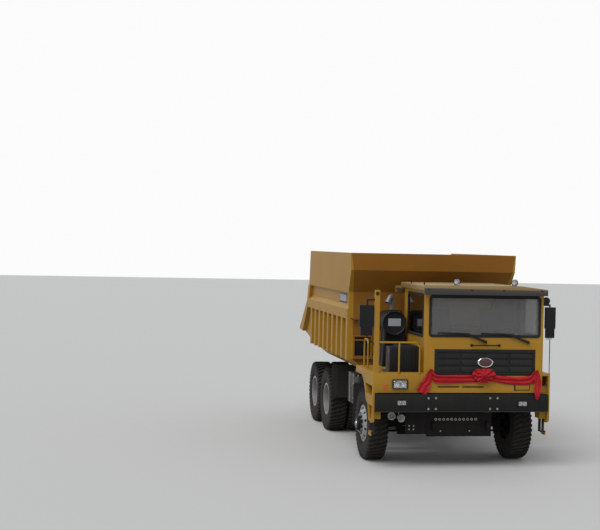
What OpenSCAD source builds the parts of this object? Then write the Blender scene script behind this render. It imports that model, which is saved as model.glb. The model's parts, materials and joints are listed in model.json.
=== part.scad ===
// Mining dump truck, three axles, cab at the left of the front platform.
// Millimetres. +X is the truck's left, -Y its front, +Z up; it stands on Z = 0.
// Most sizes below are measured in the truck's own frame, whose Y is 0 at the front axle.

/* [Wheels] */
// Radius of the tyre out to its lugs
tyre_r = 690; // [600:5:760]
// Width of one tyre
tyre_w = 385; // [330:5:400]
// Radius of the bead seat
rim_r = 330; // [300:5:350]
// Centre of the front tyre from the truck's centre line
track_half = 1420; // [1380:5:1440]
// Distance between the two tyres of a twin
twin_pitch = 430; // [410:5:445]
// Front axle to first rear axle
wheelbase = 3890; // [3700:10:4200]
// First to second rear axle
tandem = 1480; // [1420:10:1600]
// Radius of every wheel spindle
spindle_r = 58; // [45:1:70]

/* [Frame] */
// Outer face of a main rail from the centre line
rail_out = 450; // [430:5:470]
// Width of a rail's flanges
rail_w = 90; // [80:2:110]
// Thickness of a rail's web and flanges
rail_t = 16; // [10:1:20]
// Underside of the rails above the ground
rail_bottom = 970; // [940:5:990]
// Top of the rails above the ground
rail_top = 1290; // [1280:5:1300]
// Front end of the rails, ahead of the front axle
rail_front = 1090; // [1050:10:1110]
// Rear end of the rails, behind the second rear axle
rail_rear = 800; // [760:10:850]

/* [Bumper] */
// Front face of the bumper, ahead of the front axle
bumper_front = 1370; // [1340:5:1400]
// Half width of the bumper
bumper_half = 1654; // [1600:2:1680]
// Lower edge of the bumper
bumper_z = 1080; // [1060:5:1100]
// Height of the bumper
bumper_h = 330; // [300:5:340]
// Depth of the bumper
bumper_d = 170; // [140:5:190]

/* [Cab] */
// Right side of the cab, from the centre line
cab_right = 745; // [700:5:780]
// Left side of the cab, from the centre line
cab_left = 1550; // [1500:5:1590]
// Front face of the cab, ahead of the front axle
cab_front_y = 1300; // [1280:5:1310]
// Rear face of the cab, behind the front axle
cab_rear_y = 260; // [200:5:300]
// Thickness of the cab's walls and door
wall = 50; // [30:2:60]
// Top of the deck and of the cab floor
deck_z = 1795; // [1780:5:1850]
// Thickness of the deck and the cab floor
deck_t = 45; // [30:1:60]
// Lower edge of the front panel
apron_z = 1430; // [1415:5:1450]
// Underside of the roof
roof_z = 3330; // [3300:5:3400]
// Thickness of the roof
roof_t = 100; // [70:2:120]
// Lower edge of the windscreen
screen_z = 2490; // [2460:5:2520]
// Height of the windscreen
screen_h = 720; // [650:5:740]
// Thickness of the panes
pane = 8; // [5:1:12]
// Height of the grille's lower edge
grille_z = 1750; // [1740:5:1780]
// Height of the grille
grille_h = 490; // [450:5:520]

/* [Platform] */
// Outer side of the right platform, from the centre line
deck_side = 1700; // [1680:5:1720]
// Rear edge of the right platform, behind the front axle
deck_rear = 220; // [150:5:300]
// Outer radius of the rail tubes
tube_r = 17; // [12:1:22]
// Top of the front guard rail
guard_z = 2357; // [2300:5:2450]

/* [Bed] */
// Outer face of the bed's front wall, behind the front axle
bed_front_y = 1170; // [1150:5:1200]
// Thickness of the bed's plates
plate = 20; // [14:1:30]
// Half width of the bed over its lower side plates
bed_half = 1600; // [1560:5:1620]
// Depth of the side ribs
rib_d = 100; // [70:5:110]
// Number of side ribs
rib_n = 9; // [7:1:10]
// Lower edge of the side plates
side_z = 1830; // [1800:5:1860]
// Underside of the side rail
srail_z = 2640; // [2600:5:2680]
// Top of the bed
bed_top = 3980; // [3900:10:4050]
// Underside of the floor at its middle
floor_z = 1560; // [1540:5:1580]
// Rear end of the level floor, behind the second rear axle
bend_back = 230; // [200:10:260]
// Upward slope of the tail, degrees
tail_slope = 9; // [7:0.5:11]
// Rear tip of the side plates, behind the second rear axle
tail_back = 1690; // [1600:10:1760]
// Tipping hinge, behind the second rear axle
hinge_back = 580; // [560:5:600]
// Tipping hinge above the ground
hinge_z = 1420; // [1400:2:1440]
// Radius of the tipping hinge pin
hinge_r = 40; // [30:1:50]

/* [Hoist] */
// Top eyes of the two hoists, ahead of the first rear axle
eye_ahead = 590; // [580:5:600]
// Top eyes above the ground
eye_z = 1480; // [1470:2:1482]
// Foot pins above the ground
foot_z = 620; // [610:5:640]
// Each hoist from the truck's centre line
hoist_x = 230; // [228:1:236]
// Outer radius of a hoist's barrel
barrel_r = 112; // [108:1:114]
// Wall of the barrel and of each tube that slides in it
tube_wall = 15; // [13:1:16]
// Radius of the hoists' foot pins
hpin_r = 28; // [20:1:32]

/* [Fits] */
// Radial clearance of a shaft that turns in its bore
run = 0.05; // [0.02:0.01:0.1]
// Gap between a moving piece and what it passes
gap = 5; // [3:1:8]
// Gap under what rests on something
seat = 0.3; // [0.1:0.1:0.5]

/* [Hidden] */
$fn = 64;

yellow = "#d99a1e";
black = "#1d1f20";
dark = "#2c302f";
silver = "#b9bcbc";

rear1_y = wheelbase;
rear2_y = wheelbase + tandem;
tail_bend = rear2_y + bend_back;
tail_y = rear2_y + tail_back;
eye_y = rear1_y - eye_ahead;
axle1_y = -(tail_y - bumper_front) / 2;
mid_y = wheelbase + tandem / 2;
frame_end = rear2_y + rail_rear;
hinge_y = rear2_y + hinge_back;
web_in = rail_out - rail_t;
// A hoist's foot is as far from the tipping hinge as its eye is, so the hoist leans by half the
// angle that the bed tips by.
foot_y = hinge_y - sqrt(pow(hinge_y - eye_y, 2) + pow(eye_z - hinge_z, 2) - pow(foot_z - hinge_z, 2));
hoist_len = norm([eye_y - foot_y, eye_z - foot_z]);
hoist_angle = atan2(eye_z - foot_z, eye_y - foot_y);

// Everything is drawn with Y = 0 at the front axle and moved as one.
module rig() { translate([0, axle1_y, 0]) children(); }

// A block between two corners.
module block(a, b) { translate(a) cube(b - a); }

// A round bar along X between two X values.
module bar_x(r, x0, x1, y, z) {
    translate([x0, y, z]) rotate([0, 90, 0]) cylinder(r = r, h = x1 - x0);
}

// A round bar along Y.
module bar_y(r, y0, y1, x, z) {
    translate([x, y0, z]) rotate([-90, 0, 0]) cylinder(r = r, h = y1 - y0);
}

// A round bar along Z.
module bar_z(r, z0, z1, x, y) { translate([x, y, z0]) cylinder(r = r, h = z1 - z0); }

// A shape drawn in (Y, Z), given thickness from x0 to x1.
module side_plate(x0, x1) {
    translate([x0, 0, 0]) rotate([90, 0, 90]) linear_extrude(x1 - x0) children();
}

// A shape drawn in (X, Z), given thickness from y0 to y1.
module cross_plate(y0, y1) {
    translate([0, y1, 0]) rotate([90, 0, 0]) linear_extrude(y1 - y0) children();
}

module both_sides() { for (s = [0, 1]) mirror([s, 0, 0]) children(); }

// Frame.
bracket_t = 70;
ear_t = 60;
ear_gap = gap;
bracket_in = rail_out - rail_w / 2 - bracket_t / 2;
ear_out_1 = bracket_in + bracket_t + ear_gap;
pin_in = bracket_in - ear_gap - ear_t - gap;
pin_out = ear_out_1 + ear_t + gap;
ear_r = 85;

module rail() {
    difference() {
        block([rail_out - rail_w, -rail_front, rail_bottom], [rail_out, frame_end, rail_top]);
        block([rail_out - rail_w - 1, -rail_front - 1, rail_bottom + rail_t],
            [web_in, frame_end + 1, rail_top - rail_t]);
    }
    side_plate(bracket_in, bracket_in + bracket_t) {
        translate([hinge_y, hinge_z]) circle(r = ear_r - gap);
        polygon([[hinge_y - 170, rail_top - rail_t / 2], [hinge_y + 150, rail_top - rail_t / 2],
            [hinge_y + ear_r - gap, hinge_z], [hinge_y - ear_r + gap, hinge_z]]);
    }
    bar_x(hinge_r, pin_in, pin_out, hinge_y, hinge_z);
}

module frame_rails() color(black) rig() both_sides() rail();

member_h = rail_top - rail_bottom - 4 * rail_t;
member_z = rail_bottom + 2 * rail_t;
lug_t = 20;
hoist_eye = 100;
lug_in = hoist_eye / 2 + gap;
foot_lug_r = 50;
eye_lug_r = 58;
hoist_member_ahead = 363;
hoist_member_y = foot_y - hoist_member_ahead;
hoist_member_d = 130;
exhaust_arm_y = 760;
outrigger_z = deck_z - deck_t;
outrigger_h = 110;
guard_half = 620;
guard_low = 600;
guard_top = 1040;
guard_t = 60;
tow_r = 30;
tow_t = 40;
tow_x = 500;
tow_z = 800;
tow_reach = 80;

module member(y, d) {
    block([-web_in, y, member_z], [web_in, y + d, member_z + member_h]);
}

// The two plates at each hoist's foot hang from this member.
module hoist_member() {
    back = hoist_member_y + hoist_member_d;
    member(hoist_member_y, hoist_member_d);
    both_sides() {
        for (x = [hoist_x - lug_in - lug_t, hoist_x + lug_in]) side_plate(x, x + lug_t) {
            translate([foot_y, foot_z]) circle(r = foot_lug_r);
            polygon([[foot_y, foot_z - foot_lug_r], [foot_y - 200, foot_z + 10],
                [hoist_member_y + 20, member_z + 5], [back - 1, member_z + member_h - 5],
                [foot_y - 148, foot_z + 60], [foot_y - 35, foot_z + 35]]);
        }
        bar_x(hpin_r, hoist_x - lug_in - lug_t, hoist_x + lug_in + lug_t, foot_y, foot_z);
    }
}

module outrigger(y) {
    block([-deck_side + 60, y, outrigger_z - outrigger_h], [cab_left - 10, y + 100, outrigger_z]);
    both_sides() block([rail_out - rail_w, y, rail_top], [rail_out, y + 100, outrigger_z - outrigger_h]);
}

module front_guard() {
    difference() {
        union() {
            block([-guard_half, -rail_front - guard_t, guard_low],
                [guard_half, -rail_front, guard_top]);
            both_sides() side_plate(tow_x, tow_x + tow_t) {
                translate([-rail_front - guard_t - tow_reach, tow_z]) circle(r = 60);
                polygon([[-rail_front - guard_t + 1, tow_z - 90], [-rail_front - guard_t + 1, tow_z + 90],
                    [-rail_front - guard_t - tow_reach, tow_z + 60],
                    [-rail_front - guard_t - tow_reach, tow_z - 60]]);
            }
        }
        both_sides() bar_x(tow_r, tow_x - 1, tow_x + tow_t + 1, -rail_front - guard_t - tow_reach, tow_z);
        for (i = [0:7]) bar_y(24, -rail_front - guard_t - 1, -rail_front + 1, -460 + i * 105, 930);
    }
}

rear_tow_r = 25;
rear_tow_z = 1060;

module tow_member() {
    difference() {
        union() {
            member(frame_end - 120, 120);
            block([-120, frame_end - 1, rear_tow_z - 30], [120, frame_end + 90, rear_tow_z + 30]);
        }
        bar_z(rear_tow_r, rear_tow_z - 31, rear_tow_z + 31, 0, frame_end + 45);
    }
}

module cross_members() color(black) rig() {
    front_guard();
    hoist_member();
    member(2250, 150);
    block([exhaust_x - 100, exhaust_arm_y, rail_top], [-sill_in, exhaust_arm_y + 100, rail_top + 80]);
    member(mid_y - 75, 150);
    tow_member();
    outrigger(-1050);
    outrigger(50);
}

module bumper() color(dark) rig() {
    block([-bumper_half, -bumper_front, bumper_z],
        [bumper_half, -bumper_front + bumper_d, bumper_z + bumper_h]);
    both_sides() block([rail_out - rail_w, -bumper_front + bumper_d - 1, bumper_z + 30],
        [rail_out, -rail_front, rail_top - 20]);
}

// Axles.
king_x = 1150;
king_r = 28;
king_boss_r = 75;
beam_top = 620;
beam_low = 480;
boss_low = 620;
boss_top = 760;
king_low = 520;
king_top = 860;
axle_tube_r = 95;
axle_end = 780;
pinion_len = 380;
pinion_back = 270;
gearbox_end = 640;
pad_z = tyre_r + axle_tube_r + 15;
rear_spring_x = 480;
spindle_end = track_half + 40;

module front_beam() {
    block([-900, -55, beam_low], [900, 55, beam_top]);
    both_sides() {
        block([820, -55, beam_low + 60], [930, 55, boss_top]);
        block([900, -55, boss_low], [king_x, 55, boss_top]);
        bar_z(king_boss_r, boss_low, boss_top, king_x, 0);
        bar_z(king_r, king_low, king_top, king_x, 0);
    }
}

module rear_axle(y) {
    bar_x(axle_tube_r, -axle_end, axle_end, y, tyre_r);
    bar_x(spindle_r, -spindle_end, spindle_end, y, tyre_r);
    bar_x(250, -170, 170, y, tyre_r);
    bar_y(110, y - pinion_len, y + pinion_back, 0, pinion_z);
    both_sides() block([rear_spring_x, y - 100, tyre_r], [rear_spring_x + rail_w, y + 100, pad_z]);
}

module axles() color(black) rig() {
    front_beam();
    rear_axle(rear1_y);
    rear_axle(rear2_y);
}

// Propeller shafts from the gearbox to the first rear axle and on to the second.
shaft_r = 55;
flange_r = 80;
flange_t = 24;
pinion_z = tyre_r + 40;
module shaft(y0, z0, y1, z1) {
    l = norm([y1 - y0, z1 - z0]);
    bar_y(flange_r, y0, y0 + flange_t, 0, z0);
    bar_y(flange_r, y1 - flange_t, y1, 0, z1);
    translate([0, y0, z0]) rotate([atan2(z1 - z0, y1 - y0), 0, 0])
        bar_y(shaft_r, flange_t / 2, l - flange_t / 2, 0, 0);
}
module drive_shafts() color(dark) rig() {
    shaft(gearbox_end, 1000, rear1_y - pinion_len, pinion_z);
    shaft(rear1_y + pinion_back, pinion_z, rear2_y - pinion_len, pinion_z);
}

// Leaf springs: each leaf is a slice of a ring, with its curve's centre on the pack's middle.
leaf_t = 22;
front_seat_z = 680;
front_spring_r = 2000;
front_leaf_n = 5;
rear_leaf_n = 5;
rear_spring_r = 2000;
rear_pad_h = 20;
rear_pack = rear_leaf_n * leaf_t;
rear_crown_z = pad_z + rear_pad_h + rear_spring_r
    - sqrt(pow(rear_spring_r - rear_pack, 2) - pow(tandem / 2, 2));
trunnion_z = 760;

module leaf(r, t, half, cy, cz, side) {
    intersection() {
        side_plate(0, rail_w) translate([cy, cz]) difference() {
            circle(r = r, $fn = 180);
            circle(r = r - t, $fn = 180);
        }
        block([-1, cy - half, side > 0 ? cz : cz - r - 1],
            [rail_w + 1, cy + half, side > 0 ? cz + r + 1 : cz]);
    }
}

module front_spring() {
    translate([rail_out - rail_w, 0, 0]) {
        for (i = [0:front_leaf_n - 1])
            leaf(front_spring_r - i * leaf_t, leaf_t + 0.5, 300 + i * 100, 0,
                front_seat_z + front_spring_r, -1);
        block([-10, -80, beam_top], [rail_w + 10, 80, front_seat_z + 30]);
        block([0, -740, 850], [rail_w, -660, rail_bottom]);
        block([0, 660, 850], [rail_w, 740, rail_bottom]);
    }
}

module rear_spring() {
    translate([rear_spring_x, 0, 0]) {
        for (i = [0:rear_leaf_n - 1])
            leaf(rear_spring_r - i * leaf_t, leaf_t + 0.5, 760 - (rear_leaf_n - 1 - i) * 110,
                mid_y, rear_crown_z - rear_spring_r, 1);
        block([0, mid_y - 80, trunnion_z], [rail_w, mid_y + 80, rear_crown_z - rear_pack + 10]);
        for (y = [rear1_y, rear2_y])
            block([0, y - 50, pad_z], [rail_w, y + 50, pad_z + rear_pad_h + 25]);
    }
    block([rail_out, mid_y - 140, rail_bottom - 260], [rear_spring_x, mid_y + 140, rail_top - 40]);
    bar_x(70, rail_out, rear_spring_x + rail_w + 30, mid_y, trunnion_z);
}

module springs() color(black) rig() both_sides() { front_spring(); rear_spring(); }

// Engine with its gearbox, as one plain mass, on four feet in the rails' channels.
engine_half = 330;
module engine() color("#3c4040") rig() {
    block([-engine_half, -900, 820], [engine_half, 350, 1560]);
    block([-190, 349, 860], [190, gearbox_end, 1200]);
    both_sides() for (y = [-700, 150]) block([engine_half - 1, y, 1080], [web_in, y + 80, 1150]);
}

// Fuel tank at the left, hydraulic tank and air bottles at the right.
tank_x = 620;
tank_r = 300;
tank_arms = [1150, 1950];
oil_tank = [1500, 2150];
module tanks() {
    color(dark) rig() {
        bar_y(tank_r, tank_arms[0] - 150, tank_arms[1] + 200, tank_x + tank_r + 30, 1010);
        for (y = tank_arms) block([rail_out, y, 1040], [tank_x + tank_r + 30, y + 60, 1100]);
        block([-tank_x - 830, oil_tank[0], 860], [-tank_x, oil_tank[1], 1480]);
        for (y = [oil_tank[0] + 100, oil_tank[1] - 200])
            block([-tank_x - 1, y, 1040], [-rail_out, y + 60, 1100]);
    }
    color(silver) rig() for (x = [-1420, -1180]) {
        bar_z(105, 900, 1450, x, 1300);
        block([x - 60, 1300, 1000], [x + 60, 1500, 1060]);
    }
}

// Knuckles. Each has a yoke round the axle's boss, a spindle and a steering arm.
yoke_t = 80;
arm_len = 250;
arm_t = 40;
ball_r = 16;
arm_low = king_low + 15;
spindle_front = track_half + 80;
yoke_out = king_x + king_boss_r + gap;

module knuckle() {
    difference() {
        union() {
            for (z = [boss_low - gap - yoke_t, boss_top + gap])
                block([king_x - 55, -60, z], [yoke_out + 30, 60, z + yoke_t]);
            for (z = [boss_low - gap - yoke_t, boss_top + gap])
                bar_z(60, z, z + yoke_t, king_x, 0);
            block([yoke_out, -60, boss_low - gap - yoke_t], [yoke_out + 30, 60, boss_top + gap + yoke_t]);
            bar_x(spindle_r, yoke_out + 10, spindle_front, 0, tyre_r);
            bar_x(95, yoke_out, yoke_out + 45, 0, tyre_r);
            block([king_x - 35, 55, arm_low], [king_x + 35, arm_len, arm_low + arm_t]);
            block([king_x - 55, 40, arm_low], [king_x + 55, 80, arm_low + arm_t]);
            bar_z(35, arm_low, arm_low + arm_t, king_x, arm_len);
            bar_z(ball_r, arm_low - 70, arm_low + 1, king_x, arm_len);
        }
        bar_z(king_r + run, king_low - 20, king_top + 20, king_x, 0);
    }
}

module knuckle_left() color(black) rig() knuckle();
module knuckle_right() color(black) rig() mirror([1, 0, 0]) knuckle();

tie_z = arm_low - 55;
open_eye = 2;
module tie_rod() color(black) rig() {
    x = king_x;
    difference() {
        union() {
            for (s = [-1, 1]) bar_z(40, tie_z, tie_z + 50, s * x, arm_len);
            bar_x(20, -x + 30, x - 30, arm_len, tie_z + 25);
        }
        bar_z(ball_r + run, tie_z - 1, tie_z + 51, x, arm_len);
        bar_z(ball_r + open_eye, tie_z - 1, tie_z + 51, -x, arm_len);
    }
}

// Tyres and rims, turned about X. Profiles are (radius, distance from the tyre's middle).
bead_w = 300;
rim_t = 14;
flange_h = 22;

module turned(x, y) { translate([x, y, tyre_r]) rotate([0, 90, 0]) rotate_extrude($fn = 96) children(); }

module tyre(x, y) {
    w = tyre_w / 2;
    b = bead_w / 2;
    turned(x, y) polygon([[rim_r, -b], [rim_r + 45, -b - 10], [(rim_r + tyre_r) / 2, -w],
        [tyre_r - 70, -w + 6], [tyre_r - 12, -w + 26], [tyre_r, -w + 55], [tyre_r, w - 55],
        [tyre_r - 12, w - 26], [tyre_r - 70, w - 6], [(rim_r + tyre_r) / 2, w],
        [rim_r + 45, b + 10], [rim_r, b]]);
}

// The barrel's flanges hug the tyre's beads.
module rim_barrel(x, y) {
    b = bead_w / 2;
    turned(x, y) polygon([[rim_r - rim_t, -b - rim_t], [rim_r + flange_h, -b - rim_t],
        [rim_r + flange_h, -b - 11], [rim_r, -b], [rim_r, b], [rim_r + flange_h, b + 11],
        [rim_r + flange_h, b + rim_t], [rim_r - rim_t, b + rim_t]]);
}

hub_r = 150;
hole_n = 8;
module front_wheel_metal() {
    x = track_half;
    difference() {
        union() {
            rim_barrel(x, 0);
            turned(x, 0) polygon([[hub_r - 1, 20], [rim_r - rim_t + 1, 50], [rim_r - rim_t + 1, 72],
                [hub_r - 1, 44]]);
            bar_x(hub_r, x - 60, x + 100, 0, tyre_r);
            bar_x(95, x + 99, x + 125, 0, tyre_r);
            bar_x(205, yoke_out + 45 + gap, x - 55, 0, tyre_r);
        }
        bar_x(spindle_r + run, yoke_out + 44, spindle_front + gap, 0, tyre_r);
        for (i = [0:hole_n - 1]) translate([x, 0, tyre_r]) rotate([i * 360 / hole_n, 0, 0])
            translate([10, 235, 0]) rotate([0, 90, 0]) cylinder(r = 32, h = 80);
    }
}

module rear_wheel_metal(y) {
    xo = track_half;
    xi = track_half - twin_pitch;
    difference() {
        union() {
            rim_barrel(xo, y);
            rim_barrel(xi, y);
            turned(xo, y) polygon([[hub_r - 1, -140], [rim_r - rim_t + 1, -100], [rim_r - rim_t + 1, -78],
                [hub_r - 1, -118]]);
            turned(xi, y) polygon([[hub_r - 1, 118], [rim_r - rim_t + 1, 78], [rim_r - rim_t + 1, 100],
                [hub_r - 1, 140]]);
            bar_x(205, axle_end + gap, xo - 118, y, tyre_r);
            bar_x(hub_r, xo - 119, xo + 40, y, tyre_r);
            bar_x(100, xo + 39, xo + 75, y, tyre_r);
        }
        bar_x(spindle_r + run, axle_end + gap - 1, spindle_end + gap, y, tyre_r);
    }
}

module tyre_pair(y) { tyre(track_half, y); tyre(track_half - twin_pitch, y); }

module tyre_front_left() color(black) rig() tyre(track_half, 0);
module tyre_front_right() color(black) rig() mirror([1, 0, 0]) tyre(track_half, 0);
module rim_front_left() color(silver) rig() front_wheel_metal();
module rim_front_right() color(silver) rig() mirror([1, 0, 0]) front_wheel_metal();
module tyres_rear_1_left() color(black) rig() tyre_pair(rear1_y);
module tyres_rear_1_right() color(black) rig() mirror([1, 0, 0]) tyre_pair(rear1_y);
module tyres_rear_2_left() color(black) rig() tyre_pair(rear2_y);
module tyres_rear_2_right() color(black) rig() mirror([1, 0, 0]) tyre_pair(rear2_y);
module rims_rear_1_left() color(silver) rig() rear_wheel_metal(rear1_y);
module rims_rear_1_right() color(silver) rig() mirror([1, 0, 0]) rear_wheel_metal(rear1_y);
module rims_rear_2_left() color(silver) rig() rear_wheel_metal(rear2_y);
module rims_rear_2_right() color(silver) rig() mirror([1, 0, 0]) rear_wheel_metal(rear2_y);

// Cab shell. Windows are the pane's outline, and each pane sits in a rebate of its own thickness.
screen_in = 105;
screen_out = 80;
screen = [-cab_right + screen_in, cab_left - screen_out];
lap = 15;
win_z = 2480;
win_h = 760;
side_win = [-cab_front_y + 110, -60];
back_win = [-150, 1050];
back_win_z = 2560;
back_win_h = 560;
door_y = [-1130, -170];
door_z = [deck_z + 35, roof_z - 60];
door_win_y = [-1050, -260];
grille_x = [-cab_right + 200, cab_left - 147];
rear_in = cab_rear_y - wall;

module cab_floor() color(dark) rig()
    block([-cab_right, -cab_front_y + wall, deck_z - deck_t], [cab_left, cab_rear_y, deck_z]);

module cab_front() color(yellow) rig() difference() {
    block([-cab_right, -cab_front_y, apron_z], [cab_left, -cab_front_y + wall, roof_z]);
    block([screen[0] + lap, -cab_front_y - 1, screen_z + lap],
        [screen[1] - lap, -cab_front_y + wall + 1, screen_z + screen_h - lap]);
    block([screen[0], -cab_front_y - 1, screen_z],
        [screen[1], -cab_front_y + pane + 4, screen_z + screen_h]);
    block([grille_x[0], -cab_front_y - 1, grille_z],
        [grille_x[1], -cab_front_y + wall + 1, grille_z + grille_h]);
    for (x = [-475, 2]) block([x, -cab_front_y - 1, 1525], [x + 415, -cab_front_y + 12, 1555]);
}

// The right side has a fixed window, the left side the door's opening and the pins that it hangs on.
door_hinge_r = 10;
door_hinge_x = cab_left + 20;
door_hinge_y = door_y[0] + gap;
door_hinge_z = [2050, 3000];
knuckle_h = 75;

module cab_sides() color(yellow) rig() {
    difference() {
        block([-cab_right, -cab_front_y + wall, deck_z], [-cab_right + wall, rear_in, roof_z]);
        block([-cab_right - 1, side_win[0] + lap, win_z + lap],
            [-cab_right + wall + 1, side_win[1] - lap, win_z + win_h - lap]);
        block([-cab_right - 1, side_win[0], win_z], [-cab_right + pane + 4, side_win[1], win_z + win_h]);
    }
    difference() {
        block([cab_left - wall, -cab_front_y + wall, deck_z], [cab_left, rear_in, roof_z]);
        block([cab_left - wall - 1, door_y[0], door_z[0]], [cab_left + 1, door_y[1], door_z[1]]);
    }
    for (z = door_hinge_z) {
        block([cab_left - 1, door_y[0] - 35, z - 40], [door_hinge_x, door_y[0] - 1, z - gap]);
        bar_z(door_hinge_r + 5, z - 40, z - gap, door_hinge_x, door_hinge_y);
        bar_z(door_hinge_r, z - 40, z + knuckle_h, door_hinge_x, door_hinge_y);
    }
}

module cab_back() color(yellow) rig() difference() {
    block([-cab_right, rear_in, deck_z], [cab_left, cab_rear_y, roof_z]);
    block([back_win[0] + lap, rear_in - 1, back_win_z + lap],
        [back_win[1] - lap, cab_rear_y + 1, back_win_z + back_win_h - lap]);
    block([back_win[0], cab_rear_y - pane - 4, back_win_z],
        [back_win[1], cab_rear_y + 1, back_win_z + back_win_h]);
}

roof_over = 60;
roof_front = 130;
roof_drop_x = 1050;
roof_drop = 60;
shelf_end = 880;
module cab_roof() color(yellow) rig() {
    cross_plate(-cab_front_y - roof_front, cab_rear_y + 90)
        polygon([[-cab_right - roof_over, roof_z], [cab_left + roof_over / 2, roof_z],
            [cab_left + roof_over / 2, roof_z + roof_t - roof_drop], [roof_drop_x, roof_z + roof_t],
            [-cab_right - roof_over + 20, roof_z + roof_t], [-cab_right - roof_over, roof_z + roof_t - 20]]);
    // Its rear shelf ends in a lip that is turned down.
    block([-cab_right - roof_over + 10, cab_rear_y + 89, roof_z - 30], [-100, shelf_end, roof_z + 10]);
    block([-cab_right - roof_over + 10, shelf_end - 30, roof_z - 120], [-100, shelf_end, roof_z - 29]);
}

// Each pane lies in its rebate, against the lap behind it.
visor_h = 90;
module cab_glass() color("#8fa5ac", 0.5) rig() {
    block([screen[0], -cab_front_y + 4, screen_z], [screen[1], -cab_front_y + 4 + pane, screen_z + screen_h]);
    block([-cab_right + 4, side_win[0], win_z], [-cab_right + 4 + pane, side_win[1], win_z + win_h]);
    block([back_win[0], cab_rear_y - 4 - pane, back_win_z],
        [back_win[1], cab_rear_y - 4, back_win_z + back_win_h]);
    block([-cab_right - roof_over + 10, -cab_front_y - roof_front, roof_z - visor_h],
        [cab_left + 20, -cab_front_y - roof_front + 10, roof_z]);
}

louvre_cols = 4;
louvre_rows = 3;
grille_edge = 60;
louvre_gap = 44;
module grille() color(dark) rig() {
    y = -cab_front_y;
    w = (grille_x[1] - grille_x[0] - 2 * grille_edge + louvre_gap) / louvre_cols;
    h = (grille_h - 2 * grille_edge + louvre_gap / 2) / louvre_rows;
    difference() {
        block([grille_x[0], y, grille_z], [grille_x[1], y + wall, grille_z + grille_h]);
        block([grille_x[0] + grille_edge, y - 1, grille_z + grille_edge],
            [grille_x[1] - grille_edge, y + 20, grille_z + grille_h - grille_edge]);
    }
    for (i = [0:louvre_cols - 1], j = [0:louvre_rows - 1])
        side_plate(grille_x[0] + grille_edge + i * w, grille_x[0] + grille_edge + (i + 1) * w - louvre_gap)
            translate([y, grille_z + grille_edge + j * h])
                polygon([[21, 4], [4, 4], [4, 18], [15, h - 30], [21, h - 30]]);
}

dash_y = -cab_front_y + wall;
wheel_c = [950, -790, 2480];
wheel_tilt = -35;
module dashboard() color(dark) rig() {
    side_plate(-cab_right + wall, cab_left - wall - 2 * gap)
        polygon([[dash_y, 2050], [dash_y + 250, 2080], [dash_y + 300, 2300], [dash_y + 200, 2420],
            [dash_y, 2440]]);
    translate(wheel_c) rotate([wheel_tilt, 0, 0]) {
        rotate_extrude() translate([225, 0]) circle(r = 17, $fn = 24);
        for (a = [0, 120, 240]) rotate([0, 0, a + 90]) translate([0, -18, -8]) cube([222, 36, 14]);
        translate([0, 0, -260]) cylinder(r = 45, h = 272);
    }
}

module seat_at(x) {
    block([x - 190, -330, deck_z], [x + 190, 60, 2200]);
    block([x - 250, -420, 2200], [x + 250, 70, 2330]);
    translate([x, -60, 2325]) rotate([-10, 0, 0]) translate([-240, 0, 0]) cube([480, 90, 640]);
}
module seats() color(black) rig() for (x = [950, -100]) seat_at(x);

// Driver's door, hung at its front edge.
module door() color(yellow) rig() difference() {
    union() {
        block([cab_left - wall, door_y[0] + gap, door_z[0] + gap],
            [cab_left, door_y[1] - gap, door_z[1] - gap]);
        for (z = door_hinge_z) {
            bar_z(door_hinge_r + 5, z, z + knuckle_h, door_hinge_x, door_hinge_y);
            block([cab_left - 1, door_hinge_y + 1, z], [door_hinge_x, door_hinge_y + 40, z + knuckle_h]);
        }
    }
    for (z = door_hinge_z) bar_z(door_hinge_r + run, z - 1, z + knuckle_h + 1, door_hinge_x, door_hinge_y);
    block([cab_left - wall - 1, door_win_y[0] + lap, win_z + lap],
        [cab_left + 1, door_win_y[1] - lap, win_z + win_h - lap]);
    block([cab_left - pane - 4, door_win_y[0], win_z], [cab_left + 1, door_win_y[1], win_z + win_h]);
}
module door_glass() color("#8fa5ac", 0.5) rig()
    block([cab_left - pane - 4, door_win_y[0], win_z], [cab_left - 4, door_win_y[1], win_z + win_h]);

// Platform at the right: deck, front apron, side panel with two steps, and the wheel arch.
side_t = 40;
step_y = [-1150, -960];
step_z = [990, 1390];
step_h = [190, 160];
hung_z = 690;

// A step that hangs on two flat bars inside the side panel, drawn for the left side.
module hung_step() {
    x = deck_side - side_t;
    for (y = [step_y[0], step_y[1] - 12]) block([x - 50, y, hung_z], [x + 1, y + 12, 960]);
    block([x - 50, step_y[0], hung_z - 25], [x + 30, step_y[1], hung_z + 1]);
}

module side_outline() {
    polygon([[-cab_front_y, deck_z - deck_t], [deck_rear, deck_z - deck_t], [deck_rear, deck_z - 120],
        [-330, deck_z - 125], [-480, 1580], [-610, 1430], [-700, 1240], [-880, 1180],
        [-960, 900], [-1190, 860], [-cab_front_y, 900]]);
}
module right_deck() color(yellow) rig() difference() {
    union() {
        block([-deck_side, -cab_front_y, deck_z - deck_t], [-cab_right, deck_rear, deck_z]);
        block([-deck_side, -cab_front_y, apron_z], [-cab_right, -cab_front_y + wall, deck_z - deck_t]);
        side_plate(-deck_side, -deck_side + side_t) side_outline();
        mirror([1, 0, 0]) hung_step();
    }
    for (i = [0, 1]) block([-deck_side - 1, step_y[0], step_z[i]],
        [-deck_side + side_t + 1, step_y[1], step_z[i] + step_h[i]]);
}

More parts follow.
